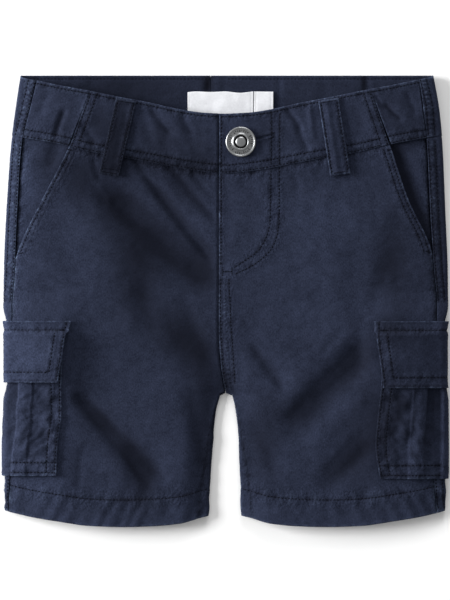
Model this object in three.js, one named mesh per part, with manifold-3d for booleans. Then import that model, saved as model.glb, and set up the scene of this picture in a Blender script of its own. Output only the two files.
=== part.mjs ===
import * as THREE from "three";
import { mergeVertices } from "three/addons/utils/BufferGeometryUtils.js";
import Module from "manifold-3d";

// Cotton twill cargo shorts for a toddler, laid flat on their back.
// Millimetres, +Z up: x runs across, y from the hems to the waist, z off the surface they lie on.
// The origin is under the middle of the garment. Left and right are as seen from above.

// Driving sizes
const BACK_WAIST_Y = 137.8; // top edge of the back waistband
const BACK_SEAM_Y = 100.8; // lower edge of the back waistband
const CROTCH_Y = -56.3;
const CLOTH = 1.1; // one layer of twill, hem and seam allowances averaged in
const GAP = 0.3; // between pieces that are sewn or lie together
const WRAP_GAP = 0.4; // where one wraps another round the side fold
const SIDE_RADIUS = 1.9; // the cloth's turn at the side folds
const INSEAM_RADIUS = 1.6; // the turn at the inside of each leg
const CROWN = 3.2; // how far the middle of the front rises above its edges
const CROWN_WIDTH = 40; // over this distance from the side folds
const CROWN_ROUND = 2.5; // above 1 it rises fastest beside the folds
const BAND_OUT = 0.4; // the waistband's two layers stand this far out of the panels' face
const BAND_IN = 1.2; // and reach this far inside it
const LEG_RUN = 45; // above the crotch, the section closes towards the two legs over this height
const LEG_FADE = { height: 25, crown: 18, folds: 14 }; // and out from the inside of each leg over these widths

const LEFT = -1;
const RIGHT = 1;
const SIDES = [
  [LEFT, "left"],
  [RIGHT, "right"],
];

// The main cloth's silhouette and its side seams, as distances from the middle line.
// The back wraps round each side, so the seams lie on the front, just inside the silhouette.
const OUTLINE = [
  { y: 138, leftEdge: 125, leftSeam: 114.3, rightEdge: 126.8, rightSeam: 117 },
  { y: 116, leftEdge: 128.3, leftSeam: 119.6, rightEdge: 130.6, rightSeam: 121.6 },
  { y: 94, leftEdge: 131, leftSeam: 124.4, rightEdge: 132.6, rightSeam: 123 },
  { y: 50, leftEdge: 134.2, leftSeam: 127.3, rightEdge: 134.6, rightSeam: 125.2 },
  { y: 20, leftEdge: 135.4, leftSeam: 128.6, rightEdge: 135.8, rightSeam: 127.2 },
  { y: -3, leftEdge: 135.7, leftSeam: 130.2, rightEdge: 136, rightSeam: 129 },
  { y: -13, leftEdge: 133.6, leftSeam: 130.2, rightEdge: 133.9, rightSeam: 128.6 },
  { y: -24, leftEdge: 132.2, leftSeam: 129.7, rightEdge: 132.4, rightSeam: 128.1 },
  { y: -48, leftEdge: 132.2, leftSeam: 129.7, rightEdge: 132.4, rightSeam: 127.3 },
  { y: -62, leftEdge: 134.1, leftSeam: 130.8, rightEdge: 134.2, rightSeam: 127.4 },
  { y: -102, leftEdge: 134.9, leftSeam: 131.4, rightEdge: 134.4, rightSeam: 127.2 },
  { y: -116, leftEdge: 134.4, leftSeam: 132, rightEdge: 134, rightSeam: 127.6 },
  { y: -140, leftEdge: 135.9, leftSeam: 133.6, rightEdge: 134.6, rightSeam: 130.8 },
];

// The fly edge and centre front seam, then the inside of each leg, as x.
const MIDDLE = [
  { y: 138, seam: -4, leftLeg: -4, rightLeg: -4 },
  { y: -18, seam: -4.2, leftLeg: -4.2, rightLeg: -4.2 },
  { y: -38, seam: -3, leftLeg: -3, rightLeg: -3 },
  { y: -52, seam: -1, leftLeg: -1, rightLeg: -1 },
  { y: -56.3, seam: 0, leftLeg: -2.6, rightLeg: 3.4 },
  { y: -68, seam: 0, leftLeg: -5.8, rightLeg: 6.2 },
  { y: -84, seam: 0, leftLeg: -7.4, rightLeg: 7.9 },
  { y: -108, seam: 0, leftLeg: -9, rightLeg: 9 },
  { y: -140, seam: 0, leftLeg: -11.3, rightLeg: 10.2 },
];

// The waistband's top edge and lower seam on the front, and the hem, by distance from the middle.
const LEVELS = [
  { across: 0, bandTop: 114.2, bandSeam: 77.6, hem: -129.4 },
  { across: 14, bandTop: 114.9, bandSeam: 79, hem: -132 },
  { across: 28, bandTop: 117, bandSeam: 81.1, hem: -135.8 },
  { across: 46, bandTop: 121, bandSeam: 84.6, hem: -137.4 },
  { across: 62, bandTop: 124, bandSeam: 87.4, hem: -137.8 },
  { across: 83, bandTop: 128.3, bandSeam: 91.2, hem: -137.1 },
  { across: 101, bandTop: 131.6, bandSeam: 95.6, hem: -134.6 },
  { across: 118, bandTop: 135.2, bandSeam: 98.8, hem: -131.8 },
  { across: 131, bandTop: 137.6, bandSeam: 100.8, hem: -128.9 },
  { across: 137, bandTop: 137.8, bandSeam: 101, hem: -127.2 },
];

// Heights of the rows that the fronts and backs share, between the waistband seam and the hem.
const PANEL_ROWS = [
  62, 50, 42, 34, 27, 18, 8, -2, -12, -17, -24, -34, -46, -56.3, -62, -68, -80, -94, -107, -117, -124,
];
const TOP_ROWS = 4; // even rows above them

// How far the pockets' back halves hold the back panel up, by height.
const POCKET_LIFT = [
  { y: 6, lift: 0 },
  { y: -10, lift: 2.7 },
  { y: -54, lift: 2.7 },
  { y: -68, lift: 1.4 },
  { y: -111, lift: 1.4 },
  { y: -126, lift: 0 },
];
const POCKET_LIFT_IN = 56; // the lift fades out this far inside the silhouette
const POCKET_LIFT_RAMP = 26;

// The slanted pocket mouths, as distances from the middle line. The line carries on up the waistband.
const MOUTH = [
  { y: 131, left: 81.5, right: 87.6 },
  { y: 94, left: 95.6, right: 100.8 },
  { y: 62, left: 112, right: 111.8 },
  { y: 34, left: 125.6, right: 125 },
  { y: 27, left: 128, right: 126.9 },
];
const MOUTH_END_Y = 27;
const BAND_MOUTH = { low: 94, high: 129 }; // the part of the table that the waistband's slanted seams follow
const BAND_SIDE = { low: 99, high: 135 }; // and the heights between which its side seams run
const FACING_END_Y = 29;
const FACING_UNDER = 7; // the facing runs this far under the pocket mouth
const FACING_DROP = CLOTH + GAP;
const FACING_CLOTH = 1;

// The largest folds of the front: a trough where depth is negative, a ridge where it is positive.
const FOLDS = [
  { x0: -46, y0: 73, x1: -6, y1: 25, half: 5, depth: -1.4 },
  { x0: -68, y0: 68, x1: -2, y1: 14, half: 10, depth: -2 },
  { x0: -92, y0: 54, x1: -30, y1: 6, half: 10, depth: 0.8 },
  { x0: -94, y0: -53, x1: -38, y1: -110, half: 6, depth: -2 },
  { x0: -96, y0: -72, x1: -58, y1: -112, half: 8, depth: 0.6 },
  { x0: 15, y0: -26, x1: 38, y1: -56, half: 5, depth: -1.1 },
  { x0: 94, y0: -23, x1: 38, y1: -80, half: 9, depth: -2.1 },
  { x0: 84, y0: -8, x1: 30, y1: -62, half: 9, depth: 0.7 },
  { x0: 92, y0: -91, x1: 54, y1: -116, half: 7, depth: -1.5 },
  { x0: 102, y0: 48, x1: 100, y1: 2, half: 11, depth: -1.2 },
  { x0: 62, y0: 62, x1: 54, y1: 22, half: 17, depth: 0.7 },
];
const FOLD_LIMITS = { deepest: -2.6, highest: 0.9 };
const FOLD_FADE = 12; // folds fade in over this distance from the side folds
// They fade out beside and under the cargo pockets, between these heights.
const FOLD_CLEAR = { low: -116, high: -4, run: 8, before: 4, fade: 10 };

// The cargo pockets lie on the side seams, and wrap from the front to the back.
// Front edges of the flap and the bag, as distances from the middle line.
const POCKET_FRONT = [
  { y: -11, leftFlap: 95.2, rightFlap: 92.3, leftBag: 99, rightBag: 95.5 },
  { y: -21, leftFlap: 97.6, rightFlap: 92.6, leftBag: 99, rightBag: 95.4 },
  { y: -34, leftFlap: 99.4, rightFlap: 94.1, leftBag: 99.2, rightBag: 95.3 },
  { y: -51, leftFlap: 101.7, rightFlap: 96.1, leftBag: 99.9, rightBag: 94.9 },
  { y: -68, leftFlap: 102, rightFlap: 96.5, leftBag: 99.8, rightBag: 93.1 },
  { y: -88, leftFlap: 102, rightFlap: 96.5, leftBag: 102.2, rightBag: 91.5 },
  { y: -109, leftFlap: 102, rightFlap: 96.5, leftBag: 103.1, rightBag: 94.3 },
];
const FLAP_TOP_Y = { left: -12, right: -12.2 };
const FLAP_END_Y = { left: -49.6, right: -53 };
const FLAP_STRIP = 5; // the stitched strip along the top of the flap, flat on the panel
const FLAP_RAMP = 4; // below it the flap climbs onto the bag
const BAG_TOP_Y = -22;
const BAG_END_Y = { left: -106.6, right: -108.4 };
const POCKET_BACK = -33; // back edge, from the side seam
const PLEAT_HALF = 4.3; // half the open middle of the inverted pleat
const PLEAT_DEPTH = 10; // cloth folded under each side of it
const FRONT_STACK = { bag: 1.4, pleat: 2.3, flap: 2.6, flapTop: 3.8 };
const BACK_STACK = { bag: 1.3, pleat: 1.3, flap: 1.6, flapTop: 2.6 };
const BAND_LIFT = 1.9; // how far the back belt loops hold the waistband up
const BAND_LIFT_Y = { from: 62, to: 92 };

const SEAM_UNDER = 6; // the left front runs this far under the right at the fly and the seam below it
const BAND_UNDER = 22; // and its waistband this far, to carry the button
const LAP_RAMP = 5; // it sinks to pass under over this width
const LAP_EASE = 0.1;
const LAP_ABOVE = { start: 10, full: 22 }; // the lap begins this far above the crotch
const LAP_TRIM = 1.5; // the waistband's hidden end is this much lower at the top and bottom

const LOOP_WIDTH = 12.3;
const LOOP = { inner: BAND_OUT + GAP, outer: 2 };
const FRONT_LOOPS = [
  { name: "left", topX: -60.4, topY: 122.6, endX: -71, endY: 75 },
  { name: "right", topX: 62.6, topY: 122.8, endX: 70, endY: 75.6 },
];
const BACK_LOOPS = [
  { name: "left", x: -72 },
  { name: "centre", x: -9 },
  { name: "right", x: 56 },
];
const LOOP_PAST_SEAM = 5;

const BUTTON = { x: 9.3, y: 97, radius: 9.2, height: 2.5, shank: 2.1, boss: 5.2, nail: 3.6 };
const BUTTONHOLE = { clearance: 0.5, slit: 0.9, length: 19, slope: 0.22 };

const LABEL = { y0: 115.6, y1: 127.6, x0: -23.1, x1: 17, thickness: 1 };
const SIZE_TAB = { y0: 115.6, y1: 127.8, x0: 17.3, x1: 29.2, thickness: 1 };

const lerp = (a, b, t) => a + (b - a) * t;
const clamp = (v, low, high) => Math.min(high, Math.max(low, v));
const smooth = (t) => {
  const s = clamp(t, 0, 1);
  return s * s * (3 - 2 * s);
};
const spread = (a, b, steps) => Array.from({ length: steps + 1 }, (_, i) => lerp(a, b, i / steps));

// A column of a table at a place between its rows, on a smooth curve that keeps to the rows.
function at(table, key, value, column) {
  const rising = table[0][key] < table[table.length - 1][key];
  const rows = rising ? table : [...table].reverse();
  const x = clamp(value, rows[0][key], rows[rows.length - 1][key]);
  let i = 0;
  while (i < rows.length - 2 && x > rows[i + 1][key]) i += 1;
  const slopeOf = (k) => (rows[k + 1][column] - rows[k][column]) / (rows[k + 1][key] - rows[k][key]);
  const tangent = (k) => {
    if (k === 0 || k === rows.length - 1) return slopeOf(Math.min(k, rows.length - 2));
    const [before, after] = [slopeOf(k - 1), slopeOf(k)];
    return before * after <= 0 ? 0 : (2 * before * after) / (before + after);
  };
  const width = rows[i + 1][key] - rows[i][key];
  const t = (x - rows[i][key]) / width;
  const u = 1 - t;
  return (
    rows[i][column] * (1 + 2 * t) * u * u +
    tangent(i) * width * t * u * u +
    rows[i + 1][column] * t * t * (3 - 2 * t) -
    tangent(i + 1) * width * t * t * u
  );
}

const nameOf = (side) => (side < 0 ? "left" : "right");
const edgeOf = (side, y) => at(OUTLINE, "y", y, `${nameOf(side)}Edge`);
const seamOf = (side, y) => at(OUTLINE, "y", y, `${nameOf(side)}Seam`);
const legOf = (side, y) => side * at(MIDDLE, "y", y, `${nameOf(side)}Leg`);
const mouthOf = (side, y) => at(MOUTH, "y", y, nameOf(side));
const bandTopOf = (x) => at(LEVELS, "across", Math.abs(x), "bandTop");
const bandSeamOf = (x) => at(LEVELS, "across", Math.abs(x), "bandSeam");
const hemOf = (x) => at(LEVELS, "across", Math.abs(x), "hem");
const centreBackOf = (y) => lerp(0, -9, smooth((y - CROTCH_Y) / 120));

// How far the underside is held off the surface by the pockets and belt loops beneath it.
function under(x, y) {
  const inward = edgeOf(Math.sign(x) || 1, y) - Math.abs(x);
  const pocket = at(POCKET_LIFT, "y", y, "lift") * smooth((POCKET_LIFT_IN - inward) / POCKET_LIFT_RAMP);
  const { from, to } = BAND_LIFT_Y;
  return pocket + BAND_LIFT * smooth((y - from) / (to - from));
}

// The folds of the front, faded out towards the sides.
function relief(x, y) {
  const total = FOLDS.reduce((sum, fold) => {
    const [dx, dy] = [fold.x1 - fold.x0, fold.y1 - fold.y0];
    const length = Math.hypot(dx, dy);
    const along = ((x - fold.x0) * dx + (y - fold.y0) * dy) / length;
    const off = ((x - fold.x0) * dy - (y - fold.y0) * dx) / length;
    const run = 3 * fold.half;
    const ends = smooth((along + fold.half) / run) * smooth((length + fold.half - along) / run);
    return sum + fold.depth * Math.exp(-((off / fold.half) ** 2)) * ends;
  }, 0);
  const { low, high, run: rise, before, fade } = FOLD_CLEAR;
  const pocketEdge = at(POCKET_FRONT, "y", y, x < 0 ? "leftFlap" : "rightFlap") - before;
  const byPocket = smooth((y - low) / rise) * smooth((high - y) / rise);
  const clear = 1 - byPocket * (1 - smooth((pocketEdge - Math.abs(x)) / fade));
  return clamp(total, FOLD_LIMITS.deepest, FOLD_LIMITS.highest) * clear;
}

// The outer face of the front, lying over the back.
function top(x, y) {
  const side = Math.sign(x) || 1;
  const outward = edgeOf(side, y) - Math.abs(x) - SIDE_RADIUS;
  const inward = Math.max(0, at(MIDDLE, "y", y, "leftLeg") - x, x - at(MIDDLE, "y", y, "rightLeg"));
  const closing = smooth((CROTCH_Y + LEG_RUN - y) / LEG_RUN);
  const nearLeg = (width) => closing * (1 - smooth(inward / width));
  const height = lerp(2 * SIDE_RADIUS, 2 * INSEAM_RADIUS, nearLeg(LEG_FADE.height));
  const rise = 1 - (1 - clamp(outward / CROWN_WIDTH, 0, 1)) ** CROWN_ROUND;
  const crown = CROWN * rise * (1 - nearLeg(LEG_FADE.crown));
  const folds = relief(x, y) * smooth(outward / FOLD_FADE) * (1 - nearLeg(LEG_FADE.folds));
  return under(x, y) + height + crown + folds;
}

// One half of the garment at a height y, as a path in the plane across it: from the middle of the front
// outwards, round the side fold, and back under to the middle. Distance along it is counted from the
// fold's outermost point, and is positive on the front.
function halfSection(side, y, frontInner, backInner) {
  const quarter = (Math.PI / 2) * SIDE_RADIUS;
  const foldAt = edgeOf(side, y) - SIDE_RADIUS;
  const curl = (Math.PI / 2) * smooth((CROTCH_Y + 4 - y) / 7);
  const innerOf = (front) => (front ? frontInner : backInner);
  const turnAt = (front) => innerOf(front) + INSEAM_RADIUS * Math.sin(curl);
  const turnStart = (front) => quarter + foldAt - turnAt(front);
  const reach = (front) => turnStart(front) + INSEAM_RADIUS * curl;
  const faceAt = (c, front) => (front ? top(side * c, y) : under(side * c, y));
  const place = (along) => {
    const front = along > 0;
    const distance = Math.abs(along);
    if (distance <= quarter) {
      const angle = along / SIDE_RADIUS;
      const low = under(side * foldAt, y);
      return [foldAt + SIDE_RADIUS * Math.cos(angle), low + SIDE_RADIUS * (1 + Math.sin(angle))];
    }
    const turned = clamp((distance - turnStart(front)) / INSEAM_RADIUS, 0, curl);
    if (turned <= 0 || curl < 0.01) {
      const c = foldAt - (distance - quarter);
      return [c, faceAt(c, front)];
    }
    const drop = INSEAM_RADIUS * (1 - Math.cos(turned));
    const c = turnAt(front) - INSEAM_RADIUS * Math.sin(turned);
    return [c, faceAt(turnAt(front), front) + (front ? -drop : drop)];
  };
  return { place, reach, quarter, foldAt };
}

// Distance along the path of a point on the front at a plan distance from the middle line.
function alongOf(side, y, c) {
  const inward = edgeOf(side, y) - c;
  if (inward < SIDE_RADIUS) return SIDE_RADIUS * Math.acos(clamp(1 - inward / SIDE_RADIUS, -1, 1));
  return (Math.PI / 2) * SIDE_RADIUS + inward - SIDE_RADIUS;
}

const frontMiddle = (side, y) => (y > CROTCH_Y ? side * at(MIDDLE, "y", y, "seam") : legOf(side, y));
const backMiddle = (side, y) => (y > CROTCH_Y ? side * centreBackOf(y) : legOf(side, y));

// A point of the cloth's outer face at a distance along the path, moved out square to the face.
function clothPoint(side, y, along, out) {
  const { place } = halfSection(side, y, frontMiddle(side, y), backMiddle(side, y));
  const step = 0.05;
  const [c, z] = place(along);
  const [c0, z0] = place(along - step);
  const [c1, z1] = place(along + step);
  const length = Math.hypot(c1 - c0, z1 - z0) || 1;
  const [nc, nz] = [(z1 - z0) / length, -(c1 - c0) / length];
  return [side * (c + out * nc), y, z + out * nz];
}

// A closed wall between two grids of points, outer and inner.
function wall(columns, rows, outer, inner) {
  const positions = [];
  [outer, inner].forEach((face) => {
    for (let j = 0; j <= rows; j += 1) for (let i = 0; i <= columns; i += 1) positions.push(...face(i, j));
  });
  const id = (face, i, j) => (face * (rows + 1) + j) * (columns + 1) + i;
  const index = [];
  const quad = (a, b, c, d) => index.push(a, b, c, a, c, d);
  for (let j = 0; j < rows; j += 1) {
    for (let i = 0; i < columns; i += 1) {
      quad(id(0, i, j), id(0, i + 1, j), id(0, i + 1, j + 1), id(0, i, j + 1));
      quad(id(1, i, j), id(1, i, j + 1), id(1, i + 1, j + 1), id(1, i + 1, j));
    }
  }
  for (let i = 0; i < columns; i += 1) {
    quad(id(0, i, 0), id(1, i, 0), id(1, i + 1, 0), id(0, i + 1, 0));
    quad(id(0, i, rows), id(0, i + 1, rows), id(1, i + 1, rows), id(1, i, rows));
  }
  for (let j = 0; j < rows; j += 1) {
    quad(id(0, 0, j), id(0, 0, j + 1), id(1, 0, j + 1), id(1, 0, j));
    quad(id(0, columns, j), id(1, columns, j), id(1, columns, j + 1), id(0, columns, j + 1));
  }
  return facingOut(positions, index);
}

// The geometry with its faces turned to point outwards.
function facingOut(positions, index) {
  let volume = 0;
  const corner = (k) => new THREE.Vector3().fromArray(positions, 3 * index[k]);
  for (let k = 0; k < index.length; k += 3) volume += corner(k).dot(corner(k + 1).cross(corner(k + 2)));
  if (volume < 0) index.reverse();
  const geometry = new THREE.BufferGeometry();
  geometry.setAttribute("position", new THREE.Float32BufferAttribute(positions, 3));
  geometry.setIndex(index);
  geometry.computeVertexNormals();
  return geometry;
}

// A wall made from grid places: at(i, j) gives the side, height and distance along, and how far
// its outer and inner faces stand out of the cloth there.
function clothWall(columns, rows, placeAt) {
  const face = (key) => (i, j) => {
    const p = placeAt(i, j);
    return clothPoint(p.side, p.y, p.along, p[key]);
  };
  return wall(columns, rows, face("outer"), face("inner"));
}

const CURL_LENGTH = (Math.PI / 2) * INSEAM_RADIUS;

// The left front's drop where it passes under the right, by distance short of the fly's edge.
const lapDrop = (short, depth) => depth * smooth((LAP_RAMP + 1 - short) / LAP_RAMP);

// The height of row j of a panel, in a column between the given heights at the waistband and the hem.
function panelRow(j, yTop, yEnd) {
  const high = spread(yTop, PANEL_ROWS[0], TOP_ROWS);
  return [...high, ...PANEL_ROWS.slice(1), yEnd][j];
}

// Where a column of a panel meets an edge that runs across: across(y) is its place at a height.
function meet(edgeAt, across, guess) {
  let y = guess;
  for (let k = 0; k < 4; k += 1) y = edgeAt(Math.abs(across(y)));
  return y;
}

// Fronts: from the pocket mouth and side seam to the fly, centre seam and inseam.
function frontPanel(side) {
  const nearShares = spread(0, 0.3, 7);
  const shares = [...nearShares, ...spread(0.3, 1, 8).slice(1)];
  const [across, turn] = [shares.length - 1, side < 0 ? 6 : 3];
  const rows = PANEL_ROWS.length + TOP_ROWS;
  const outerOf = (y) => (y > MOUTH_END_Y ? Math.min(mouthOf(side, y), seamOf(side, y)) : seamOf(side, y));
  const alongAt = (i, y) => {
    const middle = frontMiddle(side, y);
    const edge = halfSection(side, y, middle, middle).reach(true);
    const lapped = side < 0 ? smooth((y - CROTCH_Y - LAP_ABOVE.full) / LAP_ABOVE.start) : 0;
    const start = alongOf(side, y, outerOf(y)) + GAP / 2;
    const turnAt = edge - lerp(CURL_LENGTH, LAP_RAMP + 1, lapped);
    const end = edge + lerp(-GAP / 2, SEAM_UNDER, lapped);
    return i <= across ? lerp(start, turnAt, shares[i]) : lerp(turnAt, end, (i - across) / turn);
  };
  return clothWall(across + turn, rows, (i, j) => {
    const placeOf = (height) => clothPoint(side, height, alongAt(i, height), 0)[0];
    const yTop = meet((x) => bandSeamOf(x) - GAP / 2, placeOf, 88);
    const y = panelRow(j, yTop, meet(hemOf, placeOf, -130));
    const along = alongAt(i, y);
    const middle = frontMiddle(side, y);
    const short = halfSection(side, y, middle, middle).reach(true) - along;
    const above = (y - CROTCH_Y - LAP_ABOVE.start) / (LAP_ABOVE.full - LAP_ABOVE.start);
    const lapped = side < 0 ? smooth(above) : 0;
    const drop = lapped * lapDrop(short, CLOTH + GAP + LAP_EASE);
    return { side, y, along, outer: -drop, inner: -drop - CLOTH };
  });
}

// Columns across a back panel on the underside, as distances from the side fold. The rest are even.
const BACK_COLUMNS = [0, 9, 18, 27, 33, 39, 45, 51, 57];

// Backs: from the side seams on the front, round the side folds, to the centre seam and inseam.
function backPanel(side) {
  const [fold, across, turn] = [8, 4, 3];
  const near = BACK_COLUMNS.length - 1;
  const columns = fold + near + across + turn;
  const rows = PANEL_ROWS.length + TOP_ROWS;
  const alongAt = (i, y) => {
    const middle = backMiddle(side, y);
    const { reach, quarter } = halfSection(side, y, middle, middle);
    const start = alongOf(side, y, seamOf(side, y)) - GAP / 2;
    const end = -(reach(false) - GAP / 2);
    const nearEnd = -quarter - BACK_COLUMNS[near];
    if (i <= fold) return lerp(start, -quarter, i / fold);
    if (i <= fold + near) return -quarter - BACK_COLUMNS[i - fold];
    const past = i - fold - near;
    if (past <= across) return lerp(nearEnd, end + CURL_LENGTH, past / across);
    return lerp(end + CURL_LENGTH, end, (past - across) / turn);
  };
  return clothWall(columns, rows, (i, j) => {
    const onFront = alongAt(i, 90) > 0;
    const placeOf = (height) => clothPoint(side, height, alongAt(i, height), 0)[0];
    const yTop = meet((x) => (onFront ? bandSeamOf(x) : BACK_SEAM_Y) - GAP / 2, placeOf, 98);
    const y = panelRow(j, yTop, meet(hemOf, placeOf, -130));
    return { side, y, along: alongAt(i, y), outer: 0, inner: -CLOTH };
  });
}

// The cloth that shows behind each slanted pocket mouth.
function pocketFacing(side) {
  const [columns, rows] = [5, 9];
  return clothWall(columns, rows, (i, j) => {
    const u = i / columns;
    const xTop = lerp(seamOf(side, 97), mouthOf(side, BAND_MOUTH.low) - FACING_UNDER, u);
    const y = lerp(bandSeamOf(xTop) - GAP / 2, FACING_END_Y, j / rows);
    const c = lerp(seamOf(side, y), mouthOf(side, y) - FACING_UNDER, u);
    const along = alongOf(side, y, c) + GAP / 2;
    return { side, y, along, outer: -FACING_DROP, inner: -FACING_DROP - FACING_CLOTH };
  });
}

// The waistband's slanted seams and side seams, at a share v of its height.
const bandMouth = (side, v) => lerp(mouthOf(side, BAND_MOUTH.low), mouthOf(side, BAND_MOUTH.high), v);
const bandSide = (side, v) => lerp(seamOf(side, BAND_SIDE.low), seamOf(side, BAND_SIDE.high), v);

// Waistband pieces: two at the front, two over the pocket facings, and two round the sides to the back.
function frontBand(side) {
  const [across, lap, rows] = side < 0 ? [11, 6, 4] : [13, 0, 4];
  const past = side < 0 ? 2 : 0;
  return clothWall(across + lap + past, rows, (i, j) => {
    const v = j / rows;
    const outer = bandMouth(side, v) - GAP / 2;
    const fly = frontMiddle(side, 100);
    const lapStart = fly + (lap ? LAP_RAMP + 1 : GAP / 2);
    const columnAt = () => {
      if (i <= across) return lerp(outer, lapStart, i / across);
      if (i <= across + lap) return lerp(lapStart, fly - 1, (i - across) / lap);
      return lerp(fly - 1, fly - BAND_UNDER, (i - across - lap) / past);
    };
    const c = columnAt();
    const hidden = side < 0 ? smooth((fly - c) / 3) : 0;
    const y = lerp(bandSeamOf(c) + GAP / 2 + LAP_TRIM * hidden, bandTopOf(c) - LAP_TRIM * hidden, v);
    const drop = side < 0 ? lapDrop(c - fly, BAND_OUT + BAND_IN + GAP + LAP_EASE) : 0;
    return { side, y, along: alongOf(side, y, c), outer: BAND_OUT - drop, inner: -BAND_IN - drop };
  });
}

function sideBand(side) {
  const [columns, rows] = [6, 4];
  return clothWall(columns, rows, (i, j) => {
    const v = j / rows;
    const inner = bandMouth(side, v) + GAP / 2;
    const outer = bandSide(side, v) - GAP / 2;
    const c = lerp(outer, inner, i / columns);
    const y = lerp(bandSeamOf(c) + GAP / 2, bandTopOf(c), v);
    return { side, y, along: alongOf(side, y, c), outer: BAND_OUT, inner: -BAND_IN };
  });
}

function backBand(side) {
  const [turn, across, rows] = [8, 8, 4];
  return clothWall(turn + across, rows, (i, j) => {
    const v = j / rows;
    const yGuess = lerp(100, BACK_WAIST_Y, v);
    const { quarter, foldAt } = halfSection(side, yGuess, 0, 0);
    const start = alongOf(side, yGuess, bandSide(side, v) + GAP / 2);
    const end = -(quarter + foldAt - side * centreBackOf(yGuess) - GAP / 2);
    const along = i <= turn ? lerp(start, -quarter, i / turn) : lerp(-quarter, end, (i - turn) / across);
    const x = edgeOf(side, yGuess) - Math.max(0, along - quarter + SIDE_RADIUS);
    const low = along > 0 ? bandSeamOf(x) : BACK_SEAM_Y;
    const high = along > 0 ? bandTopOf(x) : BACK_WAIST_Y;
    return { side, y: lerp(low + GAP / 2, high, v), along, outer: BAND_OUT, inner: -BAND_IN };
  });
}

// The stack of cloth in a cargo pocket, thinner where it lies under the garment than on the front.
const toFront = (along) => smooth(along / (2 * SIDE_RADIUS) + 0.5);
const stackOf = (along, key) => lerp(BACK_STACK[key], FRONT_STACK[key], toFront(along));

// The outer face of a pocket bag, at a distance along the cloth and a distance k from the side seam.
function bagOuter(along, k) {
  const folded = PLEAT_HALF + PLEAT_DEPTH;
  const pleated = smooth((Math.abs(k) - PLEAT_HALF + 0.2) / 0.8) * smooth((folded + 2 - Math.abs(k)) / 2);
  return lerp(stackOf(along, "bag"), stackOf(along, "pleat"), pleated);
}

// Columns across a cargo pocket by distance from the side seam, closest at the side fold and the pleat.
const POCKET_COLUMNS = [
  ...[POCKET_BACK, -26, -20, -16.3, -14.3],
  ...spread(-13, 0, 10),
  ...[2.4, 4.1, 4.9, 9, 14.3, 16.3],
];
const BAG_ROWS = [-34, -46, -56.3, -62, -68, -80, -94];

function cargoPiece(side, heights, frontColumn, outerOf, innerOf) {
  const last = POCKET_COLUMNS.length - 1;
  return clothWall(last + 2, heights.length - 1, (i, j) => {
    const y = heights[j];
    const seam = alongOf(side, y, seamOf(side, y));
    const front = alongOf(side, y, at(POCKET_FRONT, "y", y, frontColumn)) - seam;
    const k = i <= last ? POCKET_COLUMNS[i] : lerp(POCKET_COLUMNS[last], front, (i - last) / 2);
    const along = seam + k;
    return { side, y, along, outer: outerOf(along, k, y), inner: innerOf(along, k, y) };
  });
}

function cargoBag(side) {
  const name = nameOf(side);
  const heights = [BAG_TOP_Y, ...BAG_ROWS, BAG_END_Y[name]];
  return cargoPiece(side, heights, `${name}Bag`, bagOuter, () => WRAP_GAP);
}

function cargoFlap(side) {
  const name = nameOf(side);
  const yTop = FLAP_TOP_Y[name];
  const climb = (y) => smooth((yTop - y - FLAP_STRIP) / FLAP_RAMP);
  const thick = (along) => stackOf(along, "flapTop") - stackOf(along, "flap");
  const inner = (along, k, y) => lerp(WRAP_GAP, stackOf(along, "flap"), climb(y));
  const outer = (along, k, y) => inner(along, k, y) + thick(along);
  const rampEnd = FLAP_STRIP + FLAP_RAMP;
  const drops = [0, 2.5, FLAP_STRIP, FLAP_STRIP + FLAP_RAMP / 2, rampEnd, rampEnd + 3];
  const heights = [...drops.map((drop) => yTop - drop), -34, -46, FLAP_END_Y[name]];
  return cargoPiece(side, heights, `${name}Flap`, outer, inner);
}

// A belt loop on the front, from the waistband's top edge to below its seam.
function frontLoop({ topX, topY, endX, endY }) {
  const [columns, rows] = [3, 8];
  const side = Math.sign(topX);
  return clothWall(columns, rows, (i, j) => {
    const v = j / rows;
    const x = lerp(topX, endX, v) + LOOP_WIDTH * (i / columns - 0.5);
    const tilt = (bandTopOf(x) - bandTopOf(topX)) * 0.8;
    const y = lerp(topY, endY, v) + tilt;
    return { side, y, along: alongOf(side, y, Math.abs(x)), outer: LOOP.outer, inner: LOOP.inner };
  });
}

// A belt loop under the back waistband, flat between it and the surface.
function backLoop({ x }) {
  const [columns, rows] = [3, 6];
  const face = (z) => (i, j) => {
    const y = lerp(BACK_WAIST_Y - 0.6, BACK_SEAM_Y - LOOP_PAST_SEAM, j / rows);
    return [x + LOOP_WIDTH * (i / columns - 0.5), y, z];
  };
  return wall(columns, rows, face(0), face(BAND_LIFT - LOOP.inner));
}

// The woven label and its size tab, on the inside of the back waistband.
function label({ x0, x1, y0, y1, thickness }) {
  const [columns, rows] = [6, 2];
  const face = (rise) => (i, j) => {
    const [x, y] = [lerp(x0, x1, i / columns), lerp(y0, y1, j / rows)];
    return [x, y, under(x, y) + BAND_IN + GAP + rise];
  };
  return wall(columns, rows, face(thickness), face(0));
}

// The metal button: a dished disc with a raised ring, a round nail head and a shank through the buttonhole.
function button() {
  const { radius, height, shank, boss, nail } = BUTTON;
  const below = BAND_OUT + BAND_IN; // the shank reaches through the top layer of the waistband
  const profile = [
    [0, -below],
    [shank, -below],
    [shank, 0],
    [radius - 0.7, 0],
    [radius, 0.5],
    [radius, height - 1.1],
    [radius - 0.5, height - 0.7],
    [boss + 0.5, height - 0.9],
    [boss, height - 0.3],
    [boss - 0.8, height - 0.3],
    [nail + 0.3, height - 1.1],
    [nail - 0.4, height - 0.5],
    [nail * 0.55, height - 0.1],
    [0, height],
  ];
  const geometry = new THREE.LatheGeometry(
    profile.map(([r, z]) => new THREE.Vector2(r, z)),
    24,
  );
  return geometry.rotateX(Math.PI / 2);
}

const buttonSeat = () => top(BUTTON.x, BUTTON.y) + BAND_OUT + GAP;

const wasm = await Module();
wasm.setup();

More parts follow.
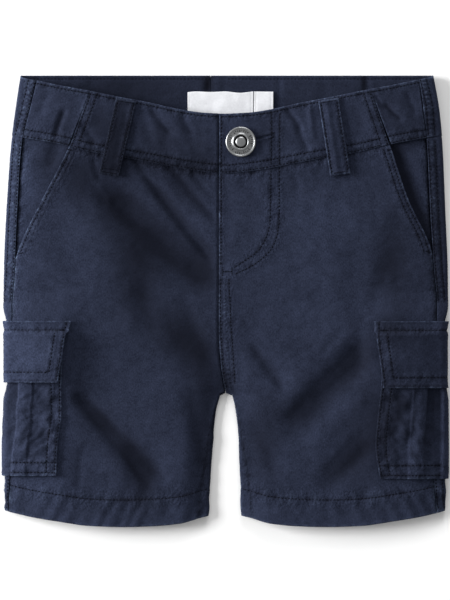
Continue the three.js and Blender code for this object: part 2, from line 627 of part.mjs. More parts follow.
// A geometry as a solid that can be cut.
function solidOf(geometry) {
  const bare = geometry.clone();
  ["normal", "uv"].forEach((name) => bare.deleteAttribute(name));
  const merged = mergeVertices(bare, 1e-4);
  return new wasm.Manifold(
    new wasm.Mesh({
      numProp: 3,
      vertProperties: merged.attributes.position.array,
      triVerts: new Uint32Array(merged.index.array),
    }),
  );
}

function geometryOf(solid) {
  const { vertProperties, triVerts } = solid.getMesh();
  const geometry = new THREE.BufferGeometry();
  geometry.setAttribute("position", new THREE.BufferAttribute(vertProperties, 3));
  geometry.setIndex(new THREE.BufferAttribute(triVerts, 1));
  geometry.computeVertexNormals();
  return geometry;
}

// The buttonhole: an eye round the shank and a slit out towards the side, cut through the right waistband.
function buttonhole() {
  const eye = BUTTON.shank + BUTTONHOLE.clearance;
  const half = BUTTONHOLE.slit / 2;
  const start = Math.asin(half / eye);
  const shape = new THREE.Shape();
  shape.absarc(0, 0, eye, start, 2 * Math.PI - start, false);
  shape.lineTo(BUTTONHOLE.length, -half);
  shape.lineTo(BUTTONHOLE.length, half);
  shape.closePath();
  const depth = 8;
  const cutter = new THREE.ExtrudeGeometry(shape, { depth, bevelEnabled: false, curveSegments: 12 });
  cutter.rotateZ(Math.atan(BUTTONHOLE.slope));
  cutter.translate(BUTTON.x, BUTTON.y, buttonSeat() - BAND_OUT - BAND_IN - GAP - 1);
  return cutter;
}

const cloth = (colour) => new THREE.MeshStandardMaterial({ color: colour, roughness: 0.9, metalness: 0 });
const TWILL = cloth(0x2b3048);
const PALE_TAPE = cloth(0xe9e9ee);
const METAL = new THREE.MeshStandardMaterial({ color: 0x9a9c98, roughness: 0.35, metalness: 1 });

const shorts = new THREE.Group();
function add(name, geometry, material = TWILL) {
  const mesh = new THREE.Mesh(geometry, material);
  mesh.name = name;
  shorts.add(mesh);
  return mesh;
}

SIDES.forEach(([side, name]) => {
  add(`front_panel_${name}`, frontPanel(side));
  add(`back_panel_${name}`, backPanel(side));
  add(`pocket_facing_${name}`, pocketFacing(side));
  add(`waistband_side_${name}`, sideBand(side));
  add(`waistband_back_${name}`, backBand(side));
  add(`cargo_pocket_${name}`, cargoBag(side));
  add(`cargo_flap_${name}`, cargoFlap(side));
});
add("waistband_front_left", frontBand(LEFT));
add("waistband_front_right", geometryOf(solidOf(frontBand(RIGHT)).subtract(solidOf(buttonhole()))));
FRONT_LOOPS.forEach((loop) => add(`belt_loop_front_${loop.name}`, frontLoop(loop)));
BACK_LOOPS.forEach((loop) => add(`belt_loop_back_${loop.name}`, backLoop(loop)));
add("label", label(LABEL), PALE_TAPE);
add("size_tab", label(SIZE_TAB), PALE_TAPE);
add("button", button(), METAL).position.set(BUTTON.x, BUTTON.y, buttonSeat());

export default shorts;
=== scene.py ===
"""A toddler's cargo shorts in washed navy twill, laid flat on their back and dressed over their solids.

Lengths are in millimetres until a mesh is made. x runs across the garment, y from the hems to the waist and
z up from the surface. A place on the cloth is given by the side of the garment, its height y and its distance
along the cloth from the side fold, which is positive on the front and negative on the back.
"""

import math

import bpy
import numpy as np
from bpy.props import FloatProperty, FloatVectorProperty, PointerProperty
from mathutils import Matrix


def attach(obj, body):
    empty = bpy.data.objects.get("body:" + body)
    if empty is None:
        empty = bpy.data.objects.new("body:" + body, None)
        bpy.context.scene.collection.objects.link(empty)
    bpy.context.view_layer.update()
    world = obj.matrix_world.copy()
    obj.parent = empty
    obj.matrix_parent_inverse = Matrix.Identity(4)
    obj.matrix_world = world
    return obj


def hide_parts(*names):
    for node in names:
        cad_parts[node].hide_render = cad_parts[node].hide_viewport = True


bl_info = {
    "name": "Cargo shorts",
    "version": (1, 0, 0),
    "blender": (4, 5, 0),
    "location": "View3D > Sidebar > Shorts",
    "description": "Dresses a pair of cargo shorts in washed twill, sewn rows and a metal button",
    "category": "Object",
}

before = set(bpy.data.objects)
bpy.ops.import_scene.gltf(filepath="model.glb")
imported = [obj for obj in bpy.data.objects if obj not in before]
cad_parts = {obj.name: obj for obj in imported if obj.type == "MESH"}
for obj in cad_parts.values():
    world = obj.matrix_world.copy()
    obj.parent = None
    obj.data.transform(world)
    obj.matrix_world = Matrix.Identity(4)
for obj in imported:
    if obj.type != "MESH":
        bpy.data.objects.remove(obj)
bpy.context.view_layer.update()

MM = 0.001
LEFT, RIGHT = -1, 1
NAMES = {LEFT: "left", RIGHT: "right"}

# Sizes that the solids are made from
BACK_WAIST_Y = 137.8
BACK_SEAM_Y = 100.8
CROTCH_Y = -56.3
CLOTH = 1.1
GAP = 0.3
WRAP_GAP = 0.4
SIDE_RADIUS = 1.9
INSEAM_RADIUS = 1.6
CROWN, CROWN_WIDTH, CROWN_ROUND = 3.2, 40, 2.5
BAND_OUT, BAND_IN = 0.4, 1.2
BAND_LIFT, BAND_LIFT_FROM, BAND_LIFT_TO = 1.9, 62, 92
MOUTH_END_Y = 27
FACING_END_Y = 29
FACING_UNDER = 7
FACING_DROP = CLOTH + GAP
FACING_DEEPEST = -0.9
FACING_SHADE = {LEFT: 0.1, RIGHT: 0.6}
FLAP_TOP_Y = {LEFT: -12, RIGHT: -12.2}
FLAP_END_Y = {LEFT: -49.6, RIGHT: -53}
FLAP_STRIP, FLAP_RAMP = 5, 4
FLAP_TILT = {LEFT: 2.6, RIGHT: 1.2}
BAG_TOP_Y = -22
BAG_END_Y = {LEFT: -106.6, RIGHT: -108.4}
POCKET_BACK = -33
RECESS_SHADE = {LEFT: 0.5, RIGHT: 0.3}
PLEAT_HALF, PLEAT_DEPTH = 4.3, 9.5
FRONT_STACK = {"bag": 1.9, "recess": 1.0, "pleat": 2.6, "flap": 2.8, "flap_top": 3.9}
BACK_STACK = {"bag": 1.3, "recess": 1.1, "pleat": 1.3, "flap": 1.6, "flap_top": 2.6}
POCKET_LIFT_IN, POCKET_LIFT_RAMP = 56, 26
SEAM_UNDER, BAND_UNDER = 6, 22
LAP_EASE, LAP_TRIM = 0.1, 1.5
LAP_FROM, LAP_RAMP = 1.1, 1.5
LAP_START, LAP_FULL = 10, 22
LOOP_WIDTH = 12.3
LOOP_INNER, LOOP_OUTER = BAND_OUT + GAP, 2.0
LOOP_PAST_SEAM = 5
FRONT_LOOPS = {LEFT: (-60.4, 122.6, -71, 75), RIGHT: (62.6, 122.8, 70, 75.6)}
BACK_LOOPS = {"left": -72, "centre": -9, "right": 56}
BUTTON_X, BUTTON_Y = 9.3, 97
HEM_DEPTH = 16.5
# The panels run this far up under the waistband's lower lip, and lie this far below it
TUCK_UP, TUCK_DROP = 1.4, 0.35
LIP, LIP_THICK = 1.9, 0.5
THINNEST = 0.35
# Shares of the dark colour: the dye's own tone everywhere outside, painted shade everywhere inside, and
# painted shade on the belt loops
OUTSIDE_TONE, INSIDE_SHADE = 0.4, 0.62
LOOP_SHADE = {LEFT: 0.35, RIGHT: 0.05}


def smooth(t):
    """A soft step from 0 to 1."""
    s = np.clip(t, 0, 1)
    return s * s * (3 - 2 * s)


def mix(a, b, t):
    return a + (b - a) * t


def hump(d, width):
    return np.exp(-((d / width) ** 2))


class Table:
    """Rows of sizes with named columns, read between the rows on a smooth curve that keeps to them."""

    def __init__(self, names, *rows):
        ordered = np.array(sorted(rows), float)
        self.key = ordered[:, 0]
        self.columns = dict(zip(names.split(), ordered.T))
        self.tangents = {name: self.tangent(values) for name, values in self.columns.items()}

    def tangent(self, values):
        slope = np.diff(values) / np.diff(self.key)
        before, after = slope[:-1], slope[1:]
        total = np.where(before + after == 0, 1, before + after)
        middle = np.where(before * after > 0, 2 * before * after / total, 0)
        return np.concatenate([slope[:1], middle, slope[-1:]])

    def __call__(self, name, value):
        values, tangents = self.columns[name], self.tangents[name]
        place = np.clip(value, self.key[0], self.key[-1])
        i = np.clip(np.searchsorted(self.key, place, side="right") - 1, 0, len(self.key) - 2)
        width = self.key[i + 1] - self.key[i]
        t = (place - self.key[i]) / width
        u = 1 - t
        first = values[i] * (1 + 2 * t) * u * u + tangents[i] * width * t * u * u
        return first + values[i + 1] * t * t * (3 - 2 * t) - tangents[i + 1] * width * t * t * u


# The silhouette of the main cloth and its side seams, from the middle line
OUTLINE = Table(
    "y left_edge left_seam right_edge right_seam",
    (138, 125, 114.3, 126.8, 117),
    (116, 128.3, 119.6, 130.6, 121.6),
    (94, 131, 124.4, 132.6, 123),
    (50, 134.2, 127.3, 134.6, 125.2),
    (20, 135.4, 128.6, 135.8, 127.2),
    (-3, 135.7, 130.2, 136, 129),
    (-13, 133.6, 130.2, 133.9, 128.6),
    (-24, 132.2, 129.7, 132.4, 128.1),
    (-48, 132.2, 129.7, 132.4, 127.3),
    (-62, 134.1, 130.8, 134.2, 127.4),
    (-102, 134.9, 131.4, 134.4, 127.2),
    (-116, 134.4, 132, 134, 127.6),
    (-140, 135.9, 133.6, 134.6, 130.8),
)
# The fly edge and centre front seam, then the inside of each leg
MIDDLE = Table(
    "y seam left_leg right_leg",
    (138, -4, -4, -4),
    (-18, -4.2, -4.2, -4.2),
    (-38, -3, -3, -3),
    (-52, -1, -1, -1),
    (-56.3, 0, -2.6, 3.4),
    (-68, 0, -5.8, 6.2),
    (-84, 0, -7.4, 7.9),
    (-108, 0, -9, 9),
    (-140, 0, -11.3, 10.2),
)
# The waistband's edges and the hem, by distance from the middle line
LEVELS = Table(
    "across band_top band_seam hem",
    (0, 114.2, 77.6, -129.4),
    (14, 114.9, 79, -132),
    (28, 117, 81.1, -135.8),
    (46, 121, 84.6, -137.4),
    (62, 124, 87.4, -137.8),
    (83, 128.3, 91.2, -137.1),
    (101, 131.6, 95.6, -134.6),
    (118, 135.2, 98.8, -131.8),
    (131, 137.6, 100.8, -128.9),
    (137, 137.8, 101, -127.2),
)
MOUTH = Table(
    "y left right",
    (131, 81.5, 87.6),
    (94, 95.6, 100.8),
    (62, 112, 111.8),
    (34, 125.6, 125),
    (27, 128, 126.9),
)
POCKET_FRONT = Table(
    "y left_flap right_flap left_bag right_bag",
    (-11, 95.2, 92.3, 99, 95.5),
    (-21, 97.6, 92.6, 99, 95.4),
    (-34, 99.4, 94.1, 99.2, 95.3),
    (-51, 101.7, 96.1, 99.9, 94.9),
    (-68, 102, 96.5, 99.8, 93.1),
    (-88, 102, 96.5, 102.2, 91.5),
    (-109, 102, 96.5, 103.1, 94.3),
)
POCKET_LIFT = Table("y lift", (6, 0), (-10, 2.7), (-54, 2.7), (-68, 1.4), (-111, 1.4), (-126, 0))
# The largest folds of the front, near those of its solids: ends, half width, depth and sideways bow
FOLDS = (
    (-46, 73, -6, 25, 5, -1.4, 0),
    (-73, 66, -6, 10, 10, -2.0, 0),
    (-92, 54, -30, 6, 10, 0.8, 0),
    (-94, -53, -38, -110, 6, -2.0, 0),
    (-96, -72, -58, -112, 8, 0.6, 0),
    (15, -26, 38, -56, 5, -1.1, 0),
    (94, -23, 38, -80, 9, -2.1, 0),
    (84, -8, 30, -62, 9, 0.7, 0),
    (93, -82, 57, -116, 7, -1.5, 0),
    (102, 48, 100, 2, 11, -1.2, 0),
    (62, 62, 54, 22, 17, 0.7, 0),
)
FOLD_LIMITS = (-2.6, 0.9)
# Softer and smaller creases that only the cloth has
CREASES = (
    (-78, 74, -6, 10, 13, -1.0, 0),
    (-98, 44, -44, -4, 15, 0.9, 0),
    (-35, 83, -4, 47, 3.0, -1.3, 0.6),
    (-22, 80, -5, 60, 2.2, -0.6, 0.4),
    (-55, 85, -8, 24, 2.4, -1.2, 0.8),
    (-52, 80, -40, 72, 2.0, 0.4, 0),
    (-80, 88, -76, 72, 2.0, -0.7, 1.2),
    (-70, 62, -34, 34, 2.6, -0.7, 1.5),
    (-94, -55, -46, -112, 2.8, -0.8, 1.2),
    (-62, -90, -46, -124, 5, -0.8, -2),
    (-58, 24, -12, -42, 11, -0.9, 0),
    (90, -20, 36, -74, 3.6, -0.6, 1.6),
    (74, 40, 60, -20, 16, 0.8, 0),
    (-40, 76, -22, 54, 2.4, 0.35, 0),
    (-84, 78, -72, 58, 3.0, -0.5, 1.0),
    (-96, 66, -80, 50, 4.0, -0.45, 0),
    (-104, 30, -86, 12, 5, -0.5, -1.5),
    (-112, 14, -96, -6, 4, -0.4, 1),
    (-52, 14, -42, -26, 6, -0.8, 2),
    (-66, 4, -58, -30, 7, 0.4, -2),
    (-24, 4, -8, -40, 5, -0.5, 2),
    (-34, -20, -18, -66, 7, -0.5, -3),
    (-84, -56, -58, -80, 3.2, 0.5, 0.6),
    (-21, -54, -11, -106, 5, -1.0, 2),
    (-86, -88, -90, -116, 3, -0.6, 1),
    (-72, -104, -70, -120, 3, -0.4, 0),
    (-56, -98, -60, -120, 4, -0.4, -1),
    (9, 74, 22, 62, 3.2, -0.6, 1),
    (4, 62, 14, 46, 3, 0.3, -1),
    (10, 48, 22, 38, 3.4, -0.5, 1),
    (40, 82, 46, 66, 2.6, -0.5, 0.5),
    (50, 84, 54, 72, 2.4, 0.35, 0),
    (72, 72, 64, 50, 5, -0.4, 1),
    (86, 46, 78, 10, 6, -0.5, 2),
    (98, 26, 90, -4, 4, -0.5, 1),
    (58, 18, 84, -8, 7, 0.4, 2),
    (74, -16, 58, -34, 3, -0.6, 1),
    (90, -30, 52, -62, 3.6, -0.5, -1.5),
    (16, -27, 37, -55, 2.4, -0.5, 0.9),
    (14, -74, 30, -108, 5, -0.7, -2),
    (28, -66, 44, -92, 5, 0.4, 1),
    (88, -56, 52, -92, 5, 0.6, 1),
    (86, -78, 60, -106, 3.4, -0.5, 1.4),
    (90, -110, 82, -124, 3.4, -0.5, 1),
)
# Painted shade on broad areas of the front, and painted light where the share is below 0: middle, reach
# across and up, and share
PAINTED_SHADE_AREAS = (
    (-72, 66, 22, 14, 0.22),
    (-50, 83, 52, 8, 0.28),
    (-90, 74, 9, 14, 0.35),
    (-22, 70, 16, 16, 0.25),
    (-72, 50, 12, 12, 0.28),
    (-54, 34, 16, 13, 0.4),
    (-38, 20, 20, 12, 0.2),
    (-12, 14, 12, 14, 0.28),
    (-50, 8, 12, 24, 0.3),
    (-30, -18, 16, 16, 0.38),
    (-16, -34, 12, 18, 0.35),
    (-62, 6, 12, 26, 0.2),
    (-10, -82, 9, 40, 0.45),
    (-76, -72, 12, 10, 0.3),
    (-60, -92, 12, 12, 0.25),
    (-50, -114, 10, 16, 0.42),
    (-131, 10, 9, 140, -0.4),
    (-116, -34, 16, 14, -0.25),
    (-112, -112, 16, 16, -0.25),
    (-122, 70, 8, 22, -0.35),
    (-107, 88, 5, 8, 0.3),
    (-118, 56, 5, 5, 0.2),
    (104, 20, 14, 44, 0.32),
    (131, 40, 9, 80, 0.32),
    (98, -14, 7, 7, 0.25),
    (108, -22, 16, 8, 0.2),
    (92, -80, 15, 32, 0.45),
    (108, -66, 14, 16, 0.25),
    (22, -86, 12, 22, 0.4),
    (72, -100, 12, 14, 0.25),
    (44, -68, 22, 14, 0.15),
    (72, -40, 20, 16, 0.13),
    (60, 50, 16, 16, -0.18),
    (62, -88, 8, 8, -0.2),
    (-76, 106, 12, 16, 0.38),
    (-40, 98, 16, 14, 0.36),
    (-12, 94, 10, 14, 0.25),
    (-98, 106, 6, 12, 0.25),
    (-98, -76, 5, 20, -0.3),
    (1, -50, 5, 9, 0.5),
    (110, 106, 16, 14, 0.22),
    (28, 104, 12, 14, 0.22),
    (97, 118, 8, 8, 0.2),
)
# Painted shade, and painted light where the share is below 0, on the inside of the back waistband
INSIDE_PAINTED_SHADE = (
    (-62, 130, 34, 12, 0.26),
    (-11, 133, 3.2, 8, 0.5),
    (84.5, 134, 1.8, 9, 0.45),
    (34, 128, 1.6, 12, -0.2),
)
# Creases across the waistband
BAND_CREASES = (
    (-98, 117, -104, 99, 1.9, -1.5, 0.5),
    (-108, 128, -114, 112, 2.6, -0.45, 0),
    (-112, 114, -108, 104, 2.4, 0.4, 0),
    (-88, 108, -78, 96, 2.2, -0.8, 0.4),
    (-84, 122, -80, 106, 3.2, 0.4, 0),
    (-52, 118, -44, 94, 2.6, -0.4, 0),
    (-46, 118, -33, 101, 2.2, -1.3, 0.6),
    (-36, 116, -26, 100, 2.6, 0.6, 0),
    (-27, 114, -20, 100, 2.0, -1.0, 0.4),
    (-16, 108, -12, 94, 3, -0.4, 1),
    (36, 118, 46, 104, 1.9, -1.2, -0.6),
    (30, 106, 42, 94, 3, 0.4, 0),
    (44, 106, 51, 91, 1.8, -1.0, 0.4),
    (51, 120, 54, 98, 1.8, 0.7, 0.3),
    (80, 120, 84, 102, 3, -0.5, 0),
    (90, 127, 98, 117, 1.7, -1.0, 0.5),
    (97, 121, 108, 110, 1.6, -1.3, 0.8),
    (104, 118, 112, 112, 1.7, 0.6, -0.6),
    (110, 127, 116, 113, 1.9, -0.9, 0),
    (106, 106, 114, 101, 2.0, -0.5, 0),
)
# Creases of the facings that show in the pocket mouths
FACING_CREASES = (
    (-100, 100, -108, 80, 3.4, -1.1, 0.6),
    (-122, 60, -114, 46, 4, -0.7, 1),
    (-118, 92, -122, 70, 4, 0.5, 0),
    (104, 92, 122, 52, 6, -1.3, 0),
    (116, 92, 122, 70, 4, 0.5, 0),
)
# Creases on the inside of the back waistband, which shows above the front
INSIDE_CREASES = (
    (-9, 138, -12, 112, 2.2, -0.5, 0.5),
    (-4, 138, -6, 112, 3, 0.35, 0),
    (86, 138, 88, 122, 2.0, -0.5, 0.5),
    (33, 138, 34, 116, 1.6, -0.25, 0),
    (-52, 138, -60, 124, 4, -0.3, 1),
    (-84, 138, -92, 128, 3, 0.3, 0),
    (58, 138, 64, 124, 4, -0.3, 0),
)
# Creases on the backs, drawn up off the surface they lie on
BACK_CREASES = (
    (-70, 66, -20, 10, 8, -0.7, 3),
    (-96, -60, -40, -112, 7, -0.8, -3),
    (66, 60, 26, 4, 8, -0.7, -3),
    (88, -58, 42, -108, 8, -0.8, 3),
    (20, -30, 44, -66, 6, -0.6, 2),
    (-22, -34, -48, -70, 6, -0.6, -2),
)


def lattice(ix, iy, seed):
    h = np.sin(ix * 127.1 + iy * 311.7 + seed * 74.7) * 43758.5453
    return 2 * (h - np.floor(h)) - 1


def noise(x, y, cell, seed=0):
    """A soft uneven field between -1 and 1, with bumps about a cell wide."""
    gx, gy = np.broadcast_arrays(x / cell, y / cell)
    ix, iy = np.floor(gx), np.floor(gy)
    fx, fy = smooth(gx - ix), smooth(gy - iy)
    low = mix(lattice(ix, iy, seed), lattice(ix + 1, iy, seed), fx)
    high = mix(lattice(ix, iy + 1, seed), lattice(ix + 1, iy + 1, seed), fx)
    return mix(low, high, fy)


def waves(run, pitch, seed):
    """Waves about a pitch long, of uneven length and height."""
    phase = run / pitch + 0.6 * noise(run, 0 * run, 2.3 * pitch, seed)
    size = 0.6 + 0.5 * noise(run, 0 * run, 1.7 * pitch, seed + 5)
    return size * np.sin(2 * math.pi * phase)


def gather(run, pitch, seed):
    """How the cloth rises and falls along a sewn row: broad and fine puckers, none alike."""
    broad = noise(run, 0 * run, 0.45 * pitch, seed)
    return 0.8 * broad + 0.7 * noise(run, 0 * run, 0.22 * pitch, seed + 5)


def creases(table, x, y):
    """Soft troughs and ridges along the lines of a table."""
    total = np.zeros(np.broadcast(x, y).shape)
    for x0, y0, x1, y1, half, depth, bow in table:
        dx, dy = x1 - x0, y1 - y0
        length = math.hypot(dx, dy)
        along = ((x - x0) * dx + (y - y0) * dy) / length
        off = ((x - x0) * dy - (y - y0) * dx) / length
        off = off - bow * (1 - (2 * along / length - 1) ** 2)
        run = 3 * half
        ends = smooth((along + half) / run) * smooth((length + half - along) / run)
        total = total + depth * hump(off, half) * ends
    return total


def painted_areas(table, x, y):
    """The sum of the soft round areas of a table, of painted shade and light."""
    return sum(
        share * np.exp(-(((x - cx) / rx) ** 2) - ((y - cy) / ry) ** 2)
        for cx, cy, rx, ry, share in table
    )


def edge_of(side, y):
    return OUTLINE(f"{NAMES[side]}_edge", y)


def seam_of(side, y):
    return OUTLINE(f"{NAMES[side]}_seam", y)


def mouth_of(side, y):
    return MOUTH(NAMES[side], y)


def band_top_of(x):
    return LEVELS("band_top", np.abs(x))


def band_seam_of(x):
    return LEVELS("band_seam", np.abs(x))


def hem_of(x):
    return LEVELS("hem", np.abs(x))


def silhouette(x, y):
    return np.where(x < 0, OUTLINE("left_edge", y), OUTLINE("right_edge", y))


def centre_back_of(y):
    return mix(0, -9, smooth((y - CROTCH_Y) / 120))


def front_middle(side, y):
    leg = side * MIDDLE(f"{NAMES[side]}_leg", y)
    return np.where(y > CROTCH_Y, side * MIDDLE("seam", y), leg)


def back_middle(side, y):
    leg = side * MIDDLE(f"{NAMES[side]}_leg", y)
    return np.where(y > CROTCH_Y, side * centre_back_of(y), leg)


def under(x, y):
    """How far the underside is held off the surface by the pockets and belt loops beneath it."""
    inward = silhouette(x, y) - np.abs(x)
    pocket = POCKET_LIFT("lift", y) * smooth((POCKET_LIFT_IN - inward) / POCKET_LIFT_RAMP)
    return pocket + BAND_LIFT * smooth((y - BAND_LIFT_FROM) / (BAND_LIFT_TO - BAND_LIFT_FROM))


def clear_of_pocket(x, y):
    """1 on open cloth and 0 under the cargo pockets."""
    edge = np.where(x < 0, POCKET_FRONT("left_flap", y), POCKET_FRONT("right_flap", y)) - 4
    beside = smooth((y + 116) / 8) * smooth((-4 - y) / 8)
    return 1 - beside * (1 - smooth((edge - np.abs(x)) / 10))


def top(x, y):
    """The outer face of the front, lying over the back."""
    outward = silhouette(x, y) - np.abs(x) - SIDE_RADIUS
    left, right = MIDDLE("left_leg", y) - x, x - MIDDLE("right_leg", y)
    inward = np.maximum(0, np.maximum(left, right))
    closing = smooth((CROTCH_Y + 45 - y) / 45)
    height = mix(2 * SIDE_RADIUS, 2 * INSEAM_RADIUS, closing * (1 - smooth(inward / 25)))
    rise = 1 - (1 - np.clip(outward / CROWN_WIDTH, 0, 1)) ** CROWN_ROUND
    crown = CROWN * rise * (1 - closing * (1 - smooth(inward / 18)))
    folds = np.clip(creases(FOLDS, x, y), *FOLD_LIMITS) * clear_of_pocket(x, y)
    folds = folds * smooth(outward / 12) * (1 - closing * (1 - smooth(inward / 14)))
    return under(x, y) + height + crown + folds


def place(side, y, along):
    """A point of the main cloth's outer face in the plane across it: its distance from the middle, and z."""
    quarter = math.pi / 2 * SIDE_RADIUS
    front = along > 0
    fold_at = edge_of(side, y) - SIDE_RADIUS
    curl = math.pi / 2 * smooth((CROTCH_Y + 4 - y) / 7)
    turn_at = np.where(front, front_middle(side, y), back_middle(side, y)) + INSEAM_RADIUS * np.sin(curl)
    distance = np.abs(along)
    turned = np.clip((distance - quarter - fold_at + turn_at) / INSEAM_RADIUS, 0, curl)
    flat_at = fold_at - (distance - quarter)
    curled = (turned > 0) & (curl >= 0.01)
    across = np.where(curled, turn_at - INSEAM_RADIUS * np.sin(turned), flat_at)
    drop = np.where(curled, INSEAM_RADIUS * (1 - np.cos(turned)), 0)
    level_at = side * np.where(curled, turn_at, flat_at)
    z = np.where(front, top(level_at, y) - drop, under(level_at, y) + drop)
    angle = np.clip(along / SIDE_RADIUS, -math.pi / 2, math.pi / 2)
    in_fold = distance <= quarter
    low = under(side * fold_at, y)
    across = np.where(in_fold, fold_at + SIDE_RADIUS * np.cos(angle), across)
    return across, np.where(in_fold, low + SIDE_RADIUS * (1 + np.sin(angle)), z)


def reach(side, y, front):
    """The distance along the cloth from the side fold to its inner edge."""
    inner = front_middle(side, y) if front else back_middle(side, y)
    curl = math.pi / 2 * smooth((CROTCH_Y + 4 - y) / 7)
    fold_at = edge_of(side, y) - SIDE_RADIUS
    return math.pi / 2 * SIDE_RADIUS + fold_at - inner - INSEAM_RADIUS * np.sin(curl) + INSEAM_RADIUS * curl


def along_of(side, y, across):
    """The distance along the cloth of a point of the front at a distance from the middle line."""
    inward = edge_of(side, y) - across
    turned = SIDE_RADIUS * np.arccos(np.clip(1 - inward / SIDE_RADIUS, -1, 1))
    return np.where(inward < SIDE_RADIUS, turned, math.pi / 2 * SIDE_RADIUS + inward - SIDE_RADIUS)


def cloth_point(side, y, along, out):
    """Points of the cloth, moved out square to its face."""
    step = 0.05
    c, z = place(side, y, along)
    c0, z0 = place(side, y, along - step)
    c1, z1 = place(side, y, along + step)
    length = np.maximum(np.hypot(c1 - c0, z1 - z0), 1e-9)
    nc, nz = (z1 - z0) / length, -(c1 - c0) / length
    return np.stack([side * (c + out * nc), y + 0 * c, z + out * nz], axis=-1)


def soft_cloth(side, along, y):
    """The creases and unevenness of the whole front, 0 at the side folds and on the underside."""
    c, _ = place(side, y, along)
    x = side * c
    outward = edge_of(side, y) - c - SIDE_RADIUS
    uneven = 0.3 * noise(x, y, 19, 3) + 0.24 * noise(x + 0.4 * y, y, 8.5, 7) + 0.1 * noise(x, y, 4.2, 11)
    waist = smooth((y - band_seam_of(x) - 1) / 5)
    band = creases(BAND_CREASES, x, y) + 0.2 * noise(x + 0.25 * y, 0.35 * y, 5.5, 17)
    front = (creases(CREASES, x, y) * clear_of_pocket(x, y) * (1 - waist) + uneven + waist * band)
    return np.where(along > 0, front * smooth(outward / 9), 0)


def dye_and_painted_shade(side, along, y):
    """The dark mark of the outside: the dye's own even tone, painted shade in the troughs of the folds, and
    painted shade on broad areas, with painted light on some.
    """
    c, _ = place(side, y, along)
    x = side * c
    band = np.where(y > band_seam_of(x), creases(BAND_CREASES, x, y), 0)
    depth = -creases(FOLDS, x, y) - creases(CREASES, x, y) - band
    # Painted shade on broad areas, and painted light where the share is below 0
    painted_light_shade = painted_areas(PAINTED_SHADE_AREAS, x, y)
    # Painted shade in the troughs of the front's folds
    folded = 0.36 * smooth((depth - 0.1) / 2.2) * smooth(along / 12)
    return OUTSIDE_TONE + np.where(along > 0, folded, 0) + painted_light_shade * smooth((along + 4) / 6)


class Row:
    """A sewn row: its path over the cloth, how deep it pulls the cloth in and how it gathers it."""

    def __init__(
        self, path, sink=0.22, rise=0.0, pitch=6.0, width=3.2, seed=1, sewn=True, glow=0.5, even=False
    ):
        self.path = np.array(path, float)
        steps = np.linalg.norm(np.diff(self.path, axis=0), axis=1)
        self.runs = np.concatenate([[0], np.cumsum(steps)])
        self.sink, self.rise, self.pitch, self.width = sink, rise, pitch, width
        self.seed, self.sewn, self.glow, self.even = seed, sewn, glow, even

    def near(self, along, y):
        """The distance of each point from the row, and how far along the row it is."""
        best = np.full(np.shape(along), 1e9)
        run = np.zeros(np.shape(along))
        for (a0, y0), (a1, y1), start in zip(self.path[:-1], self.path[1:], self.runs[:-1]):
            da, dy = a1 - a0, y1 - y0
            length = max(math.hypot(da, dy), 1e-6)
            t = np.clip(((along - a0) * da + (y - y0) * dy) / length**2, 0, 1)
            d = np.hypot(along - a0 - t * da, y - y0 - t * dy)
            closer = d < best
            best = np.where(closer, d, best)
            run = np.where(closer, start + t * length, run)
        return best, run

    def pull(self, along, y, strength):
        """The row's effect on the cloth's height, the light worn tops beside it, and painted shade along the
        row and in the hollows between its puckers.
        """
        d, run = self.near(along, y)
        wave = (waves if self.even else gather)(run + 0.3 * d, self.pitch, self.seed)
        reach_out = hump(d, self.width * (1 + 0.35 * noise(run, 0 * run, 4, self.seed + 9)))
        lift = strength * self.rise * wave * reach_out - self.sink * hump(d, 0.7)
        worn = 0.55 * self.glow * (self.rise > 0) * np.clip(0.1 + wave, 0, 1.1) * hump(d, 0.7 * self.width)
        # Painted shade along the sunken row and in the troughs of its puckers
        dark = 0.3 * hump(d, 0.8) * (self.sink > 0)
        dark = dark + 0.3 * (self.rise > 0) * np.clip(-wave, 0, 1) * hump(d, 2)
        return lift, worn, dark, hump(d, self.width) * (self.rise > 0)


class Sheet:
    """One piece of cloth on the garment's form."""

    def __init__(self, name, side, height, rows=(), soft=1.0, own=None, shade=None):
        self.name, self.side, self.height, self.rows = name, side, height, list(rows)
        self.soft, self.own, self.shade = soft, own, shade

    def lift(self, along, y):
        """The height of the outer face over the form, with its marks of wear, painted shade and sewing."""
        gathers = bpy.context.scene.shorts_look.gathers
        total = self.height(along, y) + self.soft * soft_cloth(self.side, along, y)
        if self.own:
            total = total + self.own(along, y)
        worn, sewn = np.zeros(np.shape(total)), np.zeros(np.shape(total))
        dark = dye_and_painted_shade(self.side, along, y)
        if self.shade:
            dark = dark + self.shade(along, y)
        # Painted shade in the hollows of the sewn rows
        hollows = np.zeros(np.shape(total))
        for row in self.rows:
            lift, light, hollow, near = row.pull(along, y, gathers)
            total = total + lift
            worn, hollows, sewn = worn + light, np.maximum(hollows, hollow), np.maximum(sewn, near)
        return total, worn, dark + hollows, sewn

    def point(self, along, y, extra=0.0):
        return cloth_point(self.side, y, along, self.lift(along, y)[0] + extra)


def plan_path(side, points, steps=10):
    """A path over the cloth through points of the front given as x and y."""
    points = np.array(points, float)
    dense = [points[:1]]
    for a, b in zip(points[:-1], points[1:]):
        t = np.linspace(0, 1, steps + 1)[1:, None]
        dense.append(a + (b - a) * t)
    x, y = np.concatenate(dense).T
    return np.stack([along_of(side, y, side * x), y], axis=1)


def seam_path(side, y0, y1, offset, at=seam_of, count=26):
    """A path beside a seam that runs up the side, a distance along the cloth from it."""
    y = np.linspace(y0, y1, count)
    return np.stack([along_of(side, y, at(side, y)) + offset, y], axis=1)


def cross_path(side, c0, c1, level, offset, count=26):
    """A path across the front beside an edge that runs across it."""
    c = np.linspace(c0, c1, count)
    y = level(c) + offset
    return np.stack([along_of(side, y, c), y], axis=1)


def rounded(points, radius_steps=6):
    """A smoother path through listed points."""
    points = np.array(points, float)
    t = np.concatenate([[0], np.cumsum(np.linalg.norm(np.diff(points, axis=0), axis=1))])
    table = Table("t x y", *[(a, *p) for a, p in zip(t, points)])
    at = np.linspace(0, t[-1], radius_steps * len(points))
    return np.stack([table("x", at), table("y", at)], axis=1)


